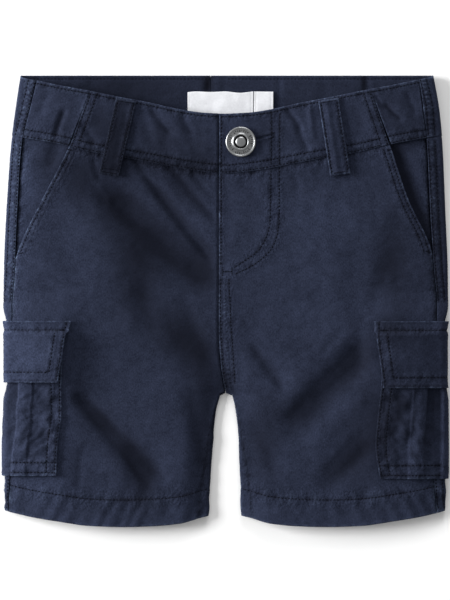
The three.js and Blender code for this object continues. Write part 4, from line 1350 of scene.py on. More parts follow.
class SHORTS_OT_waistband(bpy.types.Operator):
    """Make the waistband in its six pieces"""

    bl_idname = "shorts.waistband"
    bl_label = "Waistband"

    def execute(self, context):
        for side in (LEFT, RIGHT):
            self.front(side)
            self.side_piece(side)
            self.back(side)
        return {"FINISHED"}

    @staticmethod
    def slanted(side, y):
        """The slanted seam over the pocket mouth, as a distance from the middle line."""
        return mix(mouth_of(side, 94.0), mouth_of(side, 129.0), (y - band_seam_of(90)) / 36.5)

    def front(self, side):
        fly = float(front_middle(side, 100.0))
        under_fly = BAND_UNDER if side < 0 else 0

        def along_at(t, y):
            c = mix(self.slanted(side, y) - GAP / 2, fly + GAP / 2 - under_fly, t)
            return along_of(side, y, c)

        def height(along, y):
            c, _ = place(side, y, along)
            drop = lap_drop(c - fly, BAND_OUT + BAND_IN + GAP + LAP_EASE) if side < 0 else 0
            return BAND_OUT - drop

        def hidden(c):
            return LAP_TRIM * smooth((fly - c) / 3) if side < 0 else 0

        rows = band_rows(side, fly + 1.2, 90 if side < 0 else 94)
        for inset in (1.2, 5.2):
            path = [(side * (float(self.slanted(side, y)) - inset), y) for y in np.linspace(95, 127, 9)]
            path = plan_path(side, path, 2)
            rows.append(Row(path, rise=0.12, pitch=6, width=2.6, seed=87 + side, glow=0.5))
        if side > 0:
            for x0, x1 in ((28.2, 27.7), (33.1, 32.7)):
                path = plan_path(side, [(x0, 115), (x1, 83)], 10)
                rows.append(Row(path, rise=0.12, pitch=6, width=2.6, seed=91, glow=0.4))
            path = plan_path(side, [(-2.6, 113), (-2.7, 79)], 10)
            rows.append(Row(path, rise=0.1, pitch=6, width=2.2, seed=93))
        own = self.buttonhole if side > 0 else None
        sheet = Sheet(f"band_front_{NAMES[side]}", side, height, rows, own=own)
        t, v = shares(97 + under_fly, pitch_of(0.8)), shares(37, pitch_of(0.75))
        across = mix(mouth_of(side, 112.0), fly - under_fly, t[None, :])
        for _ in range(2):
            trim = hidden(across)
            y = mix(band_top_of(across) - trim, band_seam_of(across) + trim, v[:, None])
            along = along_at(t[None, :], y)
            across = place(side, y, along)[0]

        def inner(along, y):
            return band_inner(side, along, y) + height(along, y) - BAND_OUT

        edges = (0.5, 0.0 if side < 0 else 1.0, 1.0, 0.5)
        piece = make_cloth(sheet, along, y, edges, inner, rim_shares=(0.4, 1, 1, 1))
        declare(piece, [f"waistband_front_{NAMES[side]}"])

    @staticmethod
    def buttonhole(along, y):
        """The buttonhole's slit and the raised lips sewn round it."""
        c, _ = place(RIGHT, y, along)
        run = c - BUTTON_X
        off = y - BUTTON_Y - 0.22 * run
        inside = smooth((run - 2) / 1.5) * smooth((19.6 - run) / 1.2)
        lips = 0.35 * (hump(off - 1.4, 0.7) + hump(off + 1.4, 0.7))
        return inside * (lips - 0.9 * hump(off, 0.5))

    def side_piece(self, side):
        t, v = shares(31, pitch_of(0.8)), shares(37, pitch_of(0.75))
        share = 1 - v[:, None]
        inner_edge = mix(mouth_of(side, 94.0), mouth_of(side, 129.0), share) + GAP / 2
        outer_edge = mix(seam_of(side, 99.0), seam_of(side, 135.0), share) - GAP / 2
        c = mix(outer_edge, inner_edge, t[None, :])
        y = mix(band_seam_of(c), band_top_of(c), share)
        rows = band_rows(side, float(inner_edge.min()), float(outer_edge.max()))
        sheet = Sheet(f"band_side_{NAMES[side]}", side, lambda along, y: band_outer(along), rows)
        piece = make_cloth(sheet, along_of(side, y, c), y, (0.4, 0.9, 1.0, 0.5),
                           lambda along, y: band_inner(side, along, y), rim_shares=(0.6, 0.6, 1, 1))
        declare(piece, [f"waistband_side_{NAMES[side]}"])

    def back(self, side):
        quarter = math.pi / 2 * SIDE_RADIUS
        t = np.concatenate([shares(14, pitch_of(0.8))[:-4], 1 + shares(125, pitch_of(1.1))[3:]])
        v = shares(37, pitch_of(0.75))
        share = 1 - v[:, None]
        guess = mix(100, BACK_WAIST_Y, share)
        fold_at = edge_of(side, guess) - SIDE_RADIUS
        seam = mix(seam_of(side, 99.0), seam_of(side, 135.0), share)
        start = along_of(side, guess, seam + GAP / 2)
        end = -(quarter + fold_at - side * centre_back_of(guess) - GAP / 2)
        along = between([start, -quarter, end], t[None, :])
        x = edge_of(side, guess) - np.maximum(0, along - quarter + SIDE_RADIUS)
        low = np.where(along > 0, band_seam_of(x), BACK_SEAM_Y)
        high = np.where(along > 0, band_top_of(x), BACK_WAIST_Y)
        y = mix(low, high, share)

        def inside(along, y):
            c, _ = place(side, y, along)
            x = side * c
            uneven = creases(INSIDE_CREASES, x, y) + 0.12 * noise(x, y, 11, 97) + 0.1 * noise(x, y, 5, 99)
            row = 0.3 * hump(y - BACK_WAIST_Y + 2, 0.8) - 0.14 * gather(x, 7, 101) * hump(y - BACK_WAIST_Y, 4)
            face = 0.3 * smooth((y - BACK_SEAM_Y - 5) / 3) - smooth((-along - 4) / 6) * (uneven - row)
            return band_inner(side, along, y) + np.where(along < 0, face, 0)

        rows = [
            Row(seam_path(side, 101, 135.5, -1.0), sink=0.3, rise=0.2, pitch=6, width=3, seed=103, glow=0.8),
            Row(seam_path(side, 101, 135.5, -5.0), sink=0.25, rise=0.2, pitch=6, width=2.6,
                seed=103, glow=0.7),
            ladder(seam_path(side, 101, 135.5, -3.0), 105 + side),
        ]
        sheet = Sheet(f"band_back_{NAMES[side]}", side, lambda along, y: band_outer(along), rows)
        piece = make_cloth(sheet, along, y, (0.9, 0.2, 1.0, 0.4), inside, rim_shares=(0.6, 0.2, 1, 1))
        declare(piece, [f"waistband_back_{NAMES[side]}"])
        INNER_ROWS.append((side, inside))


INNER_ROWS = []


def to_front(along):
    return smooth(along / (2 * SIDE_RADIUS) + 0.5)


def stack_of(along, key):
    return mix(BACK_STACK[key], FRONT_STACK[key], to_front(along))


def pocket_grid(side, heights, column, pitch):
    """The grid of a cargo piece, from its back edge round the side fold to its front edge."""
    y = heights[:, None]
    seam = along_of(side, y, seam_of(side, y))
    front = along_of(side, y, POCKET_FRONT(column, y)) - seam
    t = shares(64, pitch)
    return seam + mix(POCKET_BACK, front, t[None, :]), y + 0 * t[None, :], seam


class SHORTS_OT_cargo_pockets(bpy.types.Operator):
    """Sew on the two cargo pockets with their inverted pleats"""

    bl_idname = "shorts.cargo_pockets"
    bl_label = "Cargo pockets"

    def execute(self, context):
        for side in (LEFT, RIGHT):
            self.bag(side)
        return {"FINISHED"}

    def bag(self, side):
        end_y = BAG_END_Y[side]
        fold = {LEFT: (125.9, 130), RIGHT: (122.6, 120.3)}[side]

        def from_seam(along, y):
            return along - along_of(side, y, seam_of(side, y))

        def fold_edge(y):
            # The front fold edge slants a little from the flap down to the hem of the pocket.
            c = mix(fold[0], fold[1], smooth((-51 - y) / 55))
            wave = 0.5 * noise(y, 0 * y, 11, 111 + side)
            return along_of(side, y, c) - along_of(side, y, seam_of(side, y)) + wave

        def height(along, y):
            k = from_seam(along, y)
            edge = fold_edge(y)
            open_width = smooth((k + PLEAT_HALF + 0.4) / 0.8) * (1 - smooth((k - edge + 0.3) / 0.6))
            doubled = smooth((k - edge + 0.3) / 0.6) * smooth((edge + PLEAT_DEPTH - k) / 1.0)
            behind = smooth((-k - PLEAT_HALF + 0.4) / 0.7) * smooth((PLEAT_HALF + PLEAT_DEPTH + 2 + k) / 2)
            flat = mix(stack_of(along, "bag"), stack_of(along, "pleat"), np.maximum(doubled, behind))
            flat = mix(flat, stack_of(along, "recess"), open_width * smooth((y - end_y - 1) / 6))
            inset = POCKET_FRONT(column, y)
            from_front = place(side, y, along)[0] - inset
            loose = smooth(from_front / 7) * smooth((y - end_y - 3) / 8) * (k > edge)
            rumple = 0.6 * noise(k + 0.4 * y, 0.8 * y, 6.5, 113 + side)
            rumple = rumple + 0.4 * noise(k - 0.5 * y, y, 3.4, 114)
            folded = 0.5 * hump(k - edge - 3.5, 3.5) * (k > edge)
            puff = (folded + rumple * mix(0.6, 1.3, loose)) * smooth((k + 2) / 3)
            return flat + puff * smooth((along - 2) / 4)

        def shade(along, y):
            k = from_seam(along, y)
            edge = fold_edge(y)
            under_flap = 1 - 0.6 * smooth((FLAP_END_Y[side] - y) / 30)
            recess = smooth((k + PLEAT_HALF) / 1.5) * (1 - smooth((k - edge + 0.2) / 0.5))
            crossed = 0.25 * np.clip(noise(k, y, 4.5, 116), 0, 1)
            return RECESS_SHADE[side] * under_flap * recess + crossed

        column = f"{NAMES[side]}_bag"
        top_y = BAG_TOP_Y
        v = shares(top_y - end_y, pitch_of(0.8))
        along, y, _ = pocket_grid(side, mix(top_y, end_y, v), column, pitch_of(0.62))

        def bag_edge(s, y):
            return POCKET_FRONT(column, y)

        rows = [
            Row(seam_path(side, top_y - 1, end_y + 1, -1.2, bag_edge), rise=0.2, pitch=7, width=3, seed=115),
            Row(seam_path(side, top_y - 1, end_y + 2, -6.2, bag_edge), rise=0.14, pitch=7, width=3, seed=117),
        ]
        front = float(POCKET_FRONT(column, end_y))
        for rise in (2.2, 8.2):
            path = cross_path(side, front + 1.5, 131, lambda c: end_y + 0 * c, rise)
            rows.append(Row(path, rise=0.14, pitch=7, width=3, seed=119))
        sheet = Sheet(f"pocket_{NAMES[side]}", side, height, rows, soft=0.6, shade=shade)
        piece = make_cloth(sheet, along, y, (0.3, 1.0, 0.2, 0.9), lambda along, y: WRAP_GAP + 0 * along)
        declare(piece, [column_node(side, "pocket")])


def column_node(side, kind):
    return f"cargo_{kind}_{NAMES[side]}"


class SHORTS_OT_cargo_flaps(bpy.types.Operator):
    """Sew the flaps over the cargo pockets"""

    bl_idname = "shorts.cargo_flaps"
    bl_label = "Cargo flaps"

    def execute(self, context):
        for side in (LEFT, RIGHT):
            self.flap(side)
        return {"FINISHED"}

    def flap(self, side):
        top_y, end_y = FLAP_TOP_Y[side], FLAP_END_Y[side]
        column = f"{NAMES[side]}_flap"

        def climb(y):
            return smooth((top_y - y - FLAP_STRIP) / FLAP_RAMP)

        def inner(along, y):
            return mix(WRAP_GAP, stack_of(along, "flap"), climb(y))

        def height(along, y):
            thick = stack_of(along, "flap_top") - stack_of(along, "flap")
            # At the side fold the strip is as thick as the rest, so the outline runs on straight.
            raised = stack_of(along, "flap") - WRAP_GAP
            filled = 0.5 * (1 - smooth((np.abs(along) - 3) / 7)) * raised * (1 - climb(y))
            puff = 0.3 * hump(y - (top_y + end_y) / 2, 12) * smooth((along - 4) / 10)
            fold = 0.45 * hump(y - top_y + FLAP_STRIP + 1.5, 1.6) * smooth((along - 1) / 3)
            tilt = FLAP_TILT[side] * smooth((along - 6) / 24) * climb(y)
            uneven = 0.3 * noise(along, 0.7 * y, 8, 121 + side) + 0.12 * noise(along, y, 3.4, 122)
            return inner(along, y) + thick + filled + puff + fold + tilt + uneven * smooth((along - 2) / 4)

        v = shares(top_y - end_y, pitch_of(0.62))
        along, y, _ = pocket_grid(side, mix(top_y, end_y, v), column, pitch_of(0.62))

        # The sewn-down strip stands a little past the flap's edge.
        notch = 1.5 * smooth((y - top_y + FLAP_STRIP + 2.6) / 1.2) * smooth((along - 24) / 12)
        along = along + notch

        def flap_edge(s, y):
            return POCKET_FRONT(column, y)

        front = float(POCKET_FRONT(column, top_y - 6))
        low = float(POCKET_FRONT(column, end_y))
        strip = cross_path(side, front + 1, 134, lambda c: top_y + 0 * c, -5.6)
        lower = cross_path(side, low + 6.5, 134, lambda c: end_y + 0 * c, 6.4)
        rim = cross_path(side, low + 1.5, 134, lambda c: end_y + 0 * c, 1.2)
        inset = seam_path(side, top_y - 7, end_y + 6, -6.2, flap_edge)
        edge = seam_path(side, top_y - 1, end_y + 1, -1.2, flap_edge)
        rows = [
            Row(strip, sink=0.35, rise=0.14, pitch=6, width=3, seed=123),
            Row(lower, rise=0.16, pitch=7, width=3, seed=125),
            Row(rim, rise=0.1, pitch=8, width=2, seed=126, sewn=False),
            Row(inset, rise=0.14, pitch=6, width=3, seed=127),
            Row(edge, rise=0.14, pitch=6, width=2.4, seed=129),
        ]
        sheet = Sheet(f"flap_{NAMES[side]}", side, height, rows, soft=0.4)
        piece = make_cloth(sheet, along, y, (0.3, 1.2, 0.7, 1.1), inner)
        declare(piece, [column_node(side, "flap")])


class SHORTS_OT_belt_loops(bpy.types.Operator):
    """Set the belt loops on the front and back of the waistband"""

    bl_idname = "shorts.belt_loops"
    bl_label = "Belt loops"

    def execute(self, context):
        for side, (top_x, top_y, end_x, end_y) in FRONT_LOOPS.items():
            self.front_loop(side, top_x, top_y, end_x, end_y)
        for name, x in BACK_LOOPS.items():
            self.back_loop(name, x)
        return {"FINISHED"}

    def front_loop(self, side, top_x, top_y, end_x, end_y):
        t, v = shares(LOOP_WIDTH, pitch_of(0.5)), shares(46, pitch_of(0.6))
        length = math.hypot(end_x - top_x, end_y - top_y)

        def at(u, w):
            x = mix(top_x, end_x, w) + LOOP_WIDTH * (u - 0.5)
            tilt = (band_top_of(x) - band_top_of(top_x)) * 0.8
            y = mix(top_y, end_y, w) + tilt
            return along_of(side, y, side * x), y

        along, y = at(t[None, :], v[:, None])

        def height(a, b):
            w = np.clip((top_y - b) / (top_y - end_y), 0, 1)
            bow = 0.55 * smooth(w / 0.2) * smooth((1 - w) / 0.2)
            fold = 0.5 * (hump((w - 0.03) * length, 1.6) + hump((w - 0.96) * length, 1.8))
            x = side * place(side, b, a)[0]
            u = (x - mix(top_x, end_x, w)) / LOOP_WIDTH
            channel = 0.3 * hump(u * LOOP_WIDTH + 1.2, 1.4) - 0.2 * hump(u * LOOP_WIDTH - 1.8, 1.4)
            channel = channel * (1 if side > 0 else 0.3)
            return LOOP_OUTER + bow + fold + channel + 0.12 * noise(a, b, 4.5, 131)

        rows = []
        for inset in (1.3, LOOP_WIDTH - 1.3):
            a, b = at(np.full(9, inset / LOOP_WIDTH), np.linspace(0.04, 0.96, 9))
            path = np.stack([a, b], axis=1)
            rows.append(Row(path, sink=0.25, rise=0.12, pitch=6, width=2, seed=133, glow=0.7))
        # The loop is painted in shade, the left one far more than the right.
        sheet = Sheet(f"loop_front_{NAMES[side]}", side, height, rows, soft=0.8,
                      shade=lambda a, b: LOOP_SHADE[side] + 0 * a)
        piece = make_cloth(sheet, along, y, (1.0, 1.0, 1.0, 1.1), lambda a, b: LOOP_INNER + 0 * a)
        nodes, under_it = [f"belt_loop_front_{NAMES[side]}"], [f"band_front_{NAMES[side]}"]
        declare(piece, nodes)

    def back_loop(self, name, x):
        """A loop under the garment, which lies flat on the surface."""
        t, v = shares(LOOP_WIDTH, pitch_of(0.8)), shares(41, pitch_of(1))
        w = v[:, None] + 0 * t[None, :]
        across = x + LOOP_WIDTH * (t[None, :] - 0.5) + 0 * w
        y = mix(BACK_WAIST_Y - 0.6, BACK_SEAM_Y - LOOP_PAST_SEAM, w)
        half = (BAND_LIFT - LOOP_INNER) / 2
        rims = rim_distances(across, y)
        tuck = rounding(rims, 2 * half)
        seam = 0.15 * (hump(rims[0] - 1.3, 0.7) + hump(rims[1] - 1.3, 0.7))
        low = np.stack([across, y, tuck + seam], axis=-1).reshape(-1, 3)
        high = np.stack([across, y, 2 * half - tuck], axis=-1).reshape(-1, 3)
        worn = np.max([hump(d, 0.8) for d in rims], axis=0)
        # Painted shade along the loop's two sewn lines
        marks_and_shade = np.stack([worn, 4 * seam, 4 * seam], axis=-1).reshape(-1, 3)
        cut = np.stack([across * MM, y * MM, 0 * y], axis=-1).reshape(-1, 3)
        points, quads = np.concatenate([low, high]), wall_quads(*across.shape, flip=False)
        marks, places = np.concatenate([marks_and_shade, marks_and_shade]), np.concatenate([cut, cut])
        made = new_mesh(f"loop_back_{name}", points, quads, marks, places)
        made.data.materials.append(material("washed_twill"))
        declare(made, [f"belt_loop_back_{name}"])


class SHORTS_OT_label(bpy.types.Operator):
    """Sew the bare woven label and its tab inside the back waistband"""

    bl_idname = "shorts.label"
    bl_label = "Label"

    def execute(self, context):
        self.tape("tape_label", "label", -23.1, 17.0, 111.4, 127.6, 137)
        self.tape("tape_tab", "size_tab", 17.4, 29.2, 111.4, 127.9, 141)
        return {"FINISHED"}

    def tape(self, name, node, x0, x1, y0, y1, seed):
        width, length = x1 - x0, y1 - y0
        t, v = shares(width, pitch_of(0.6), 0.3), shares(length, pitch_of(0.6), 0.3)
        x = mix(x0, x1, t)[None, :] + 0 * v[:, None]
        wavy = 0.5 * noise(x, 0 * x, 9, seed)
        y = mix(y1 + wavy, y0, v[:, None])
        base = under(x, y) + BAND_IN + GAP - 0.1
        wave = 0.25 * (1 + noise(x, y, 10, seed + 1)) + 0.1 * noise(x, y, 4, seed + 2)
        rims = rim_distances(x, y)
        half = 0.24
        tuck = rounding(rims, 2 * half)
        folded = 0.12 * (hump(rims[0] - 1.2, 0.5) + hump(rims[1] - 1.2, 0.5))
        high = np.stack([x, y, base + wave + 2 * half - tuck - folded], axis=-1).reshape(-1, 3)
        low = np.stack([x, y, base + wave + tuck], axis=-1).reshape(-1, 3)
        zero = np.zeros((2 * x.size, 3))
        made = new_mesh(name, np.concatenate([high, low]), wall_quads(*x.shape, flip=True), zero, zero)
        made.data.materials.append(material("woven_tape"))
        declare(made, [node])


class SHORTS_OT_button(bpy.types.Operator):
    """Turn the metal button, with plain marks round its rim"""

    bl_idname = "shorts.button"
    bl_label = "Button"

    def execute(self, context):
        seat = float(top(BUTTON_X, BUTTON_Y)) + BAND_OUT + GAP
        profile = (
            (0, -1.6, 0), (2.1, -1.6, 0), (2.1, 0, 0), (8.3, 0, 0.3), (8.9, 0.15, 0.2), (9.2, 0.6, 0.0),
            (9.2, 1.3, 0.0), (9.0, 1.75, 0.0), (8.6, 1.95, 0.0), (8.25, 1.85, 0.05), (8.0, 1.6, 0.35),
            (7.4, 1.55, 0.15), (6.2, 1.55, 0.1), (5.5, 1.6, 0.35), (5.2, 1.9, 0.1), (4.9, 2.25, 0.0),
            (4.5, 2.3, 0.0), (4.25, 2.1, 0.2), (4.0, 1.6, 0.9), (3.65, 1.35, 1.0), (3.35, 1.45, 0.9),
            (3.1, 1.9, 0.3), (2.8, 2.25, 0.05), (2.1, 2.45, 0.05), (1.1, 2.55, 0.1), (0.0, 2.6, 0.1),
        )
        points, quads, marks_and_shade = self.turned(profile, 96)
        for k in range(34):
            # Small raised bars, some left out, stand where the rim would be lettered.
            if k % 9 == 4:
                continue
            bar, faces, marks = self.bar(2 * math.pi * k / 34, 6.0 + 0.3 * (k % 3), 7.4, 0.26 + 0.1 * (k % 2))
            quads = np.concatenate([quads, faces + len(points)])
            points, marks_and_shade = np.concatenate([points, bar]), np.concatenate([marks_and_shade, marks])
        points = points + np.array([BUTTON_X, BUTTON_Y, seat])
        made = new_mesh("button_head", points, quads, marks_and_shade, 0 * marks_and_shade)
        made.data.materials.append(material("antique_silver"))
        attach(made, "root")
        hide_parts("button")
        return {"FINISHED"}

    @staticmethod
    def turned(profile, steps):
        """A turned solid from radius, height and darkness."""
        radius, z, dark = np.array(profile, float).T
        angle = np.linspace(0, 2 * math.pi, steps, endpoint=False)
        x = radius[:, None] * np.cos(angle)
        y = radius[:, None] * np.sin(angle)
        points = np.stack([x, y, z[:, None] + 0 * x], axis=-1).reshape(-1, 3)
        index = np.arange(len(radius) * steps).reshape(len(radius), steps)
        after = np.roll(index, -1, axis=1)
        quads = np.stack([index[:-1], after[:-1], after[1:], index[1:]], axis=-1).reshape(-1, 4)
        marks = np.repeat(dark, steps)
        return points, quads, np.stack([0 * marks, marks, 0 * marks], axis=-1)

    @staticmethod
    def bar(angle, r0, r1, half):
        """One raised bar of the rim, pointing out from the middle."""
        corners = [(r0, -half), (r1, -half), (r1, half), (r0, half)]
        low = [(r, s, 1.4) for r, s in corners]
        high = [(mix((r0 + r1) / 2, r, 0.8), 0.55 * s, 1.85) for r, s in corners]
        r, s, z = np.array(low + high).T
        turn_x, turn_y = math.cos(angle), math.sin(angle)
        points = np.stack([r * turn_x - s * turn_y, r * turn_y + s * turn_x, z], -1)
        faces = [[3, 2, 1, 0], [4, 5, 6, 7], [0, 1, 5, 4], [1, 2, 6, 5], [2, 3, 7, 6], [3, 0, 4, 7]]
        marks = np.array([[0, 1.0, 0]] * 4 + [[0, 0.9, 0]] * 4)
        return points, np.array(faces), marks


def stitch_shape():
    """One stitch along x from 0 to 1: a thread with six sides that dips into the cloth at both ends."""
    rings = ((0.0, 0.35, -0.9), (0.12, 0.9, -0.25), (0.5, 1.0, 0.15), (0.88, 0.9, -0.25), (1.0, 0.35, -0.9))
    angle = np.linspace(0, 2 * math.pi, 6, endpoint=False)
    points = [(t, size * math.cos(a), size * math.sin(a) + rise) for t, size, rise in rings for a in angle]
    index = np.arange(30).reshape(5, 6)
    after = np.roll(index, -1, axis=1)
    sides = np.stack([index[:-1], index[1:], after[1:], after[:-1]], axis=-1).reshape(-1, 4)
    caps = [[0, 1, 2, 3], [0, 3, 4, 5], [27, 26, 25, 24], [29, 28, 27, 24]]
    return np.array(points), np.concatenate([sides, caps])


def stitches_on(points, normals, pitch, radius, share=0.7):
    """Stitches along a line of points, each lying on the cloth."""
    run = np.concatenate([[0], np.cumsum(np.linalg.norm(np.diff(points, axis=0), axis=1))])
    count = max(1, int(run[-1] / pitch))
    starts = (np.arange(count) + 0.5 * (1 - share)) * run[-1] / count

    def at(s, values):
        return np.stack([np.interp(s, run, values[:, k]) for k in range(3)], axis=-1)

    a, b = at(starts, points), at(starts + share * run[-1] / count, points)
    normal = at(starts + 0.5 * share * run[-1] / count, normals)
    normal /= np.linalg.norm(normal, axis=1, keepdims=True)
    ahead = b - a
    sideways = np.cross(normal, ahead)
    sideways /= np.linalg.norm(sideways, axis=1, keepdims=True)
    shape, faces = stitch_shape()
    t, u, w = shape.T
    made = a[:, None] + ahead[:, None] * t[:, None] + radius * (
        sideways[:, None] * u[:, None] + normal[:, None] * w[:, None]
    )
    quads = faces[None] + len(shape) * np.arange(count)[:, None, None]
    return made.reshape(-1, 3), quads.reshape(-1, 4)


class SHORTS_OT_stitching(bpy.types.Operator):
    """Sew every row, bar tack and the buttonhole"""

    bl_idname = "shorts.stitching"
    bl_label = "Stitching"

    # Bar tacks on the front: the piece they are on, their ends and their width
    TACKS = (
        ("front_right", -1.8, 20.8, -1.8, 15.4, 1.1),
        ("front_right", 3.9, 20.6, 3.9, 15.6, 1.1),
        ("front_right", -1.6, 18, 4.0, 18, 1.2),
        ("front_left", -126.6, 28.8, -123.4, 29.6, 1.0),
        ("front_right", 122.0, 30.6, 125.2, 29.6, 1.0),
        ("front_left", -96.8, 92.6, -93.4, 91.8, 0.9),
        ("front_right", 98.2, 92.0, 101.6, 92.8, 0.9),
        ("flap_left", -97.6, -17.6, -101.0, -17.6, 1.2),
        ("flap_right", 94.8, -17.8, 98.4, -17.8, 1.2),
        ("loop_front_left", -65.6, 121.9, -55.4, 120.3, 0.8),
        ("loop_front_left", -75.8, 79.0, -66.6, 77.6, 0.8),
        ("loop_front_left", -75.6, 81.2, -66.2, 79.8, 0.6),
        ("loop_front_right", 58.0, 120.7, 67.2, 122.2, 0.8),
        ("loop_front_right", 65.8, 77.8, 74.6, 79.2, 0.8),
    )

    def execute(self, context):
        sizes = context.scene.shorts_sizes
        pitch, radius = sizes.stitch / MM, sizes.thread / MM / 2
        made = {LEFT: [], RIGHT: []}
        for sheet, row in SEWN:
            path = self.dense(row.path)
            made[sheet.side].append(stitches_on(*self.on_sheet(sheet, path), pitch, radius))
        sheets = {sheet.name: sheet for sheet, _ in SEWN}
        for name, x0, y0, x1, y1, width in self.TACKS:
            sheet = sheets[name]
            made[sheet.side].append(self.tack(sheet, (x0, y0), (x1, y1), width, radius))
        made[RIGHT] += self.buttonhole(sheets["band_front_right"], radius)
        for side, inside in INNER_ROWS:
            made[side].append(self.inner_row(side, inside, pitch, radius))
        for side in (LEFT, RIGHT):
            self.join(side, made[side])
        return {"FINISHED"}

    @staticmethod
    def dense(path, step=0.5):
        run = np.concatenate([[0], np.cumsum(np.linalg.norm(np.diff(path, axis=0), axis=1))])
        at = np.linspace(0, run[-1], max(2, int(run[-1] / step)))
        return np.stack([np.interp(at, run, path[:, 0]), np.interp(at, run, path[:, 1])], axis=1)

    @staticmethod
    def on_sheet(sheet, path):
        """The points and outward normals of a path on a piece's outer face."""
        along, y = path.T
        points = sheet.point(along, y)
        return points, sheet.point(along, y, 0.5) - points

    def tack(self, sheet, start, end, width, radius):
        """A bar tack: close stitches across a short line."""
        (x0, y0), (x1, y1) = start, end
        length = math.hypot(x1 - x0, y1 - y0)
        nx, ny = -(y1 - y0) / length, (x1 - x0) / length
        count = max(4, int(length / 0.8))
        parts = []
        for k in range(count):
            s = (k + 0.5) / count
            x, y = mix(x0, x1, s), mix(y0, y1, s)
            reach_out = width / 2 * (1 + 0.15 * math.sin(7.3 * k))
            ends = [(x - nx * reach_out, y - ny * reach_out), (x + nx * reach_out, y + ny * reach_out)]
            path = plan_path(sheet.side, ends, 4)
            parts.append(stitches_on(*self.on_sheet(sheet, path), 2 * width, 0.8 * radius, 0.96))
        return self.merged(parts)

    def buttonhole(self, sheet, radius):
        """The close stitches round the buttonhole, which show past the button."""
        parts = []
        for k in range(40):
            run = 8.6 + 0.28 * k
            for hand in (-1, 1):
                x, y = BUTTON_X + run, BUTTON_Y + 0.22 * run
                ends = [(x, y + hand * 0.35), (x - 0.2 * hand, y + hand * 1.9)]
                parts.append(stitches_on(*self.on_sheet(sheet, plan_path(RIGHT, ends, 4)), 4, radius, 0.96))
        x, y = BUTTON_X + 20, BUTTON_Y + 0.22 * 20
        parts.append(self.tack(sheet, (x, y - 1.6), (x, y + 1.6), 1.6, radius))
        return parts

    @staticmethod
    def inner_row(side, inside, pitch, radius):
        """The row under the top edge on the inside of the back waistband."""
        x = np.linspace(118, 1 if side > 0 else 9, 240)
        y = BACK_WAIST_Y - 2 + 0 * x
        quarter = math.pi / 2 * SIDE_RADIUS
        along = -(quarter + edge_of(side, y) - SIDE_RADIUS - x)
        points = cloth_point(side, y, along, inside(along, y))
        normals = cloth_point(side, y, along, inside(along, y) - 0.5) - points
        return stitches_on(points, normals, pitch, radius)

    @staticmethod
    def merged(parts):
        points = np.concatenate([p for p, _ in parts])
        starts = np.cumsum([0] + [len(p) for p, _ in parts[:-1]])
        return points, np.concatenate([q + s for (_, q), s in zip(parts, starts)])

    def join(self, side, parts):
        points, quads = self.merged(parts)
        zero = np.zeros_like(points)
        made = new_mesh(f"stitching_{NAMES[side]}", points, quads, zero, zero)
        made.data.materials.append(material("sewing_thread"))
        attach(made, "root")


# Where the lights stand and how wide they are, in metres, and the top light's share of the key light's power
KEY_AT, TOP_AT = (-2.4, 0.45, 0.75), (0.3, 2.4, 0.9)
LIGHT_SIZE = 1.2
TOP_LIGHT = 0.22


class ShortsStage(bpy.types.PropertyGroup):
    """The surface, the lights and the camera."""

    camera_height: FloatProperty(
        name="Camera height", description="Height of the camera over the shorts", unit="LENGTH",
        default=2.2, min=0.5,
    )
    view_height: FloatProperty(
        name="View", description="Height of what the picture takes in at the cloth", unit="LENGTH",
        default=0.366,
    )
    key_power: FloatProperty(
        name="Key light", description="Power of the key light", unit="POWER", default=158.0,
    )
    fill: FloatProperty(name="Fill", description="Strength of the even light all round", default=0.45, min=0)


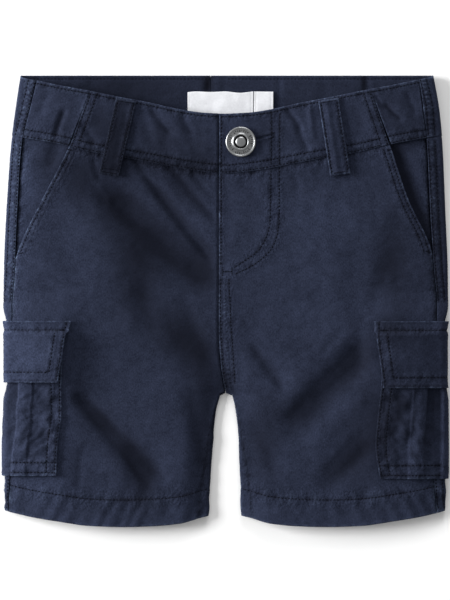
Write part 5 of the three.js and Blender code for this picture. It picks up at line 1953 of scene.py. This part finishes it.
class SHORTS_OT_stage(bpy.types.Operator):
    """Set the pale surface, the soft lights and the camera straight above"""

    bl_idname = "shorts.stage"
    bl_label = "Stage"

    # Centre of the photograph on the garment
    AIM = (-0.0003, 0.0007)

    def execute(self, context):
        stage = context.scene.shorts_stage
        self.surface()
        self.light("key_light", KEY_AT, stage.key_power)
        self.light("top_light", TOP_AT, TOP_LIGHT * stage.key_power)
        world = bpy.data.worlds.new("studio")
        world.use_nodes = True
        world.node_tree.nodes["Background"].inputs["Color"].default_value = (1, 1, 1, 1)
        world.node_tree.nodes["Background"].inputs["Strength"].default_value = stage.fill
        context.scene.world = world
        context.scene.view_settings.view_transform = "Standard"
        self.camera(stage)
        return {"FINISHED"}

    @staticmethod
    def surface():
        size = 3.0
        mesh = bpy.data.meshes.new("floor")
        corners = [(-size, -size, 0), (size, -size, 0), (size, size, 0), (-size, size, 0)]
        mesh.from_pydata(corners, [], [(0, 1, 2, 3)])
        floor = bpy.data.objects.new("floor", mesh)
        floor.data.materials.append(material("pale_surface"))
        bpy.context.scene.collection.objects.link(floor)

    @staticmethod
    def light(name, at, power):
        data = bpy.data.lights.new(name, "AREA")
        data.shape, data.size, data.size_y, data.energy = "RECTANGLE", LIGHT_SIZE, LIGHT_SIZE, power
        lamp = bpy.data.objects.new(name, data)
        lamp.location = at
        lamp.rotation_euler = (-lamp.location).to_track_quat("-Z", "Y").to_euler()
        bpy.context.scene.collection.objects.link(lamp)

    def camera(self, stage):
        data = bpy.data.cameras.new("camera")
        data.sensor_width = 36
        data.lens = data.sensor_width * stage.camera_height / stage.view_height
        data.dof.use_dof = False
        data.clip_end = 100
        camera = bpy.data.objects.new("camera", data)
        camera.location = (self.AIM[0], self.AIM[1], stage.camera_height + 0.006)
        bpy.context.scene.collection.objects.link(camera)
        bpy.context.scene.camera = camera


PIECES = (
    SHORTS_OT_stage,
    SHORTS_OT_backs,
    SHORTS_OT_fronts,
    SHORTS_OT_pocket_facings,
    SHORTS_OT_waistband,
    SHORTS_OT_cargo_pockets,
    SHORTS_OT_cargo_flaps,
    SHORTS_OT_belt_loops,
    SHORTS_OT_label,
    SHORTS_OT_button,
    SHORTS_OT_stitching,
)


class SHORTS_PT_panel(bpy.types.Panel):
    """The sizes, colours and pieces of the shorts"""

    bl_idname = "SHORTS_PT_panel"
    bl_label = "Cargo shorts"
    bl_space_type = "VIEW_3D"
    bl_region_type = "UI"
    bl_category = "Shorts"

    def draw(self, context):
        for group in (context.scene.shorts_sizes, context.scene.shorts_look, context.scene.shorts_stage):
            box = self.layout.box()
            for name in group.__annotations__:
                box.prop(group, name)
        for piece in PIECES:
            self.layout.operator(piece.bl_idname)


GROUPS = {"shorts_look": ShortsLook, "shorts_sizes": ShortsSizes, "shorts_stage": ShortsStage}


def register():
    for cls in (*GROUPS.values(), *PIECES, SHORTS_PT_panel):
        bpy.utils.register_class(cls)
    for name, group in GROUPS.items():
        setattr(bpy.types.Scene, name, PointerProperty(type=group))


def unregister():
    for name in GROUPS:
        delattr(bpy.types.Scene, name)
    for cls in reversed((*GROUPS.values(), *PIECES, SHORTS_PT_panel)):
        bpy.utils.unregister_class(cls)


def main():
    """Dresses the shorts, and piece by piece."""
    register()
    for piece in PIECES:
        group, name = piece.bl_idname.split(".")
        getattr(getattr(bpy.ops, group), name)()


if __name__ == "__main__":
    main()
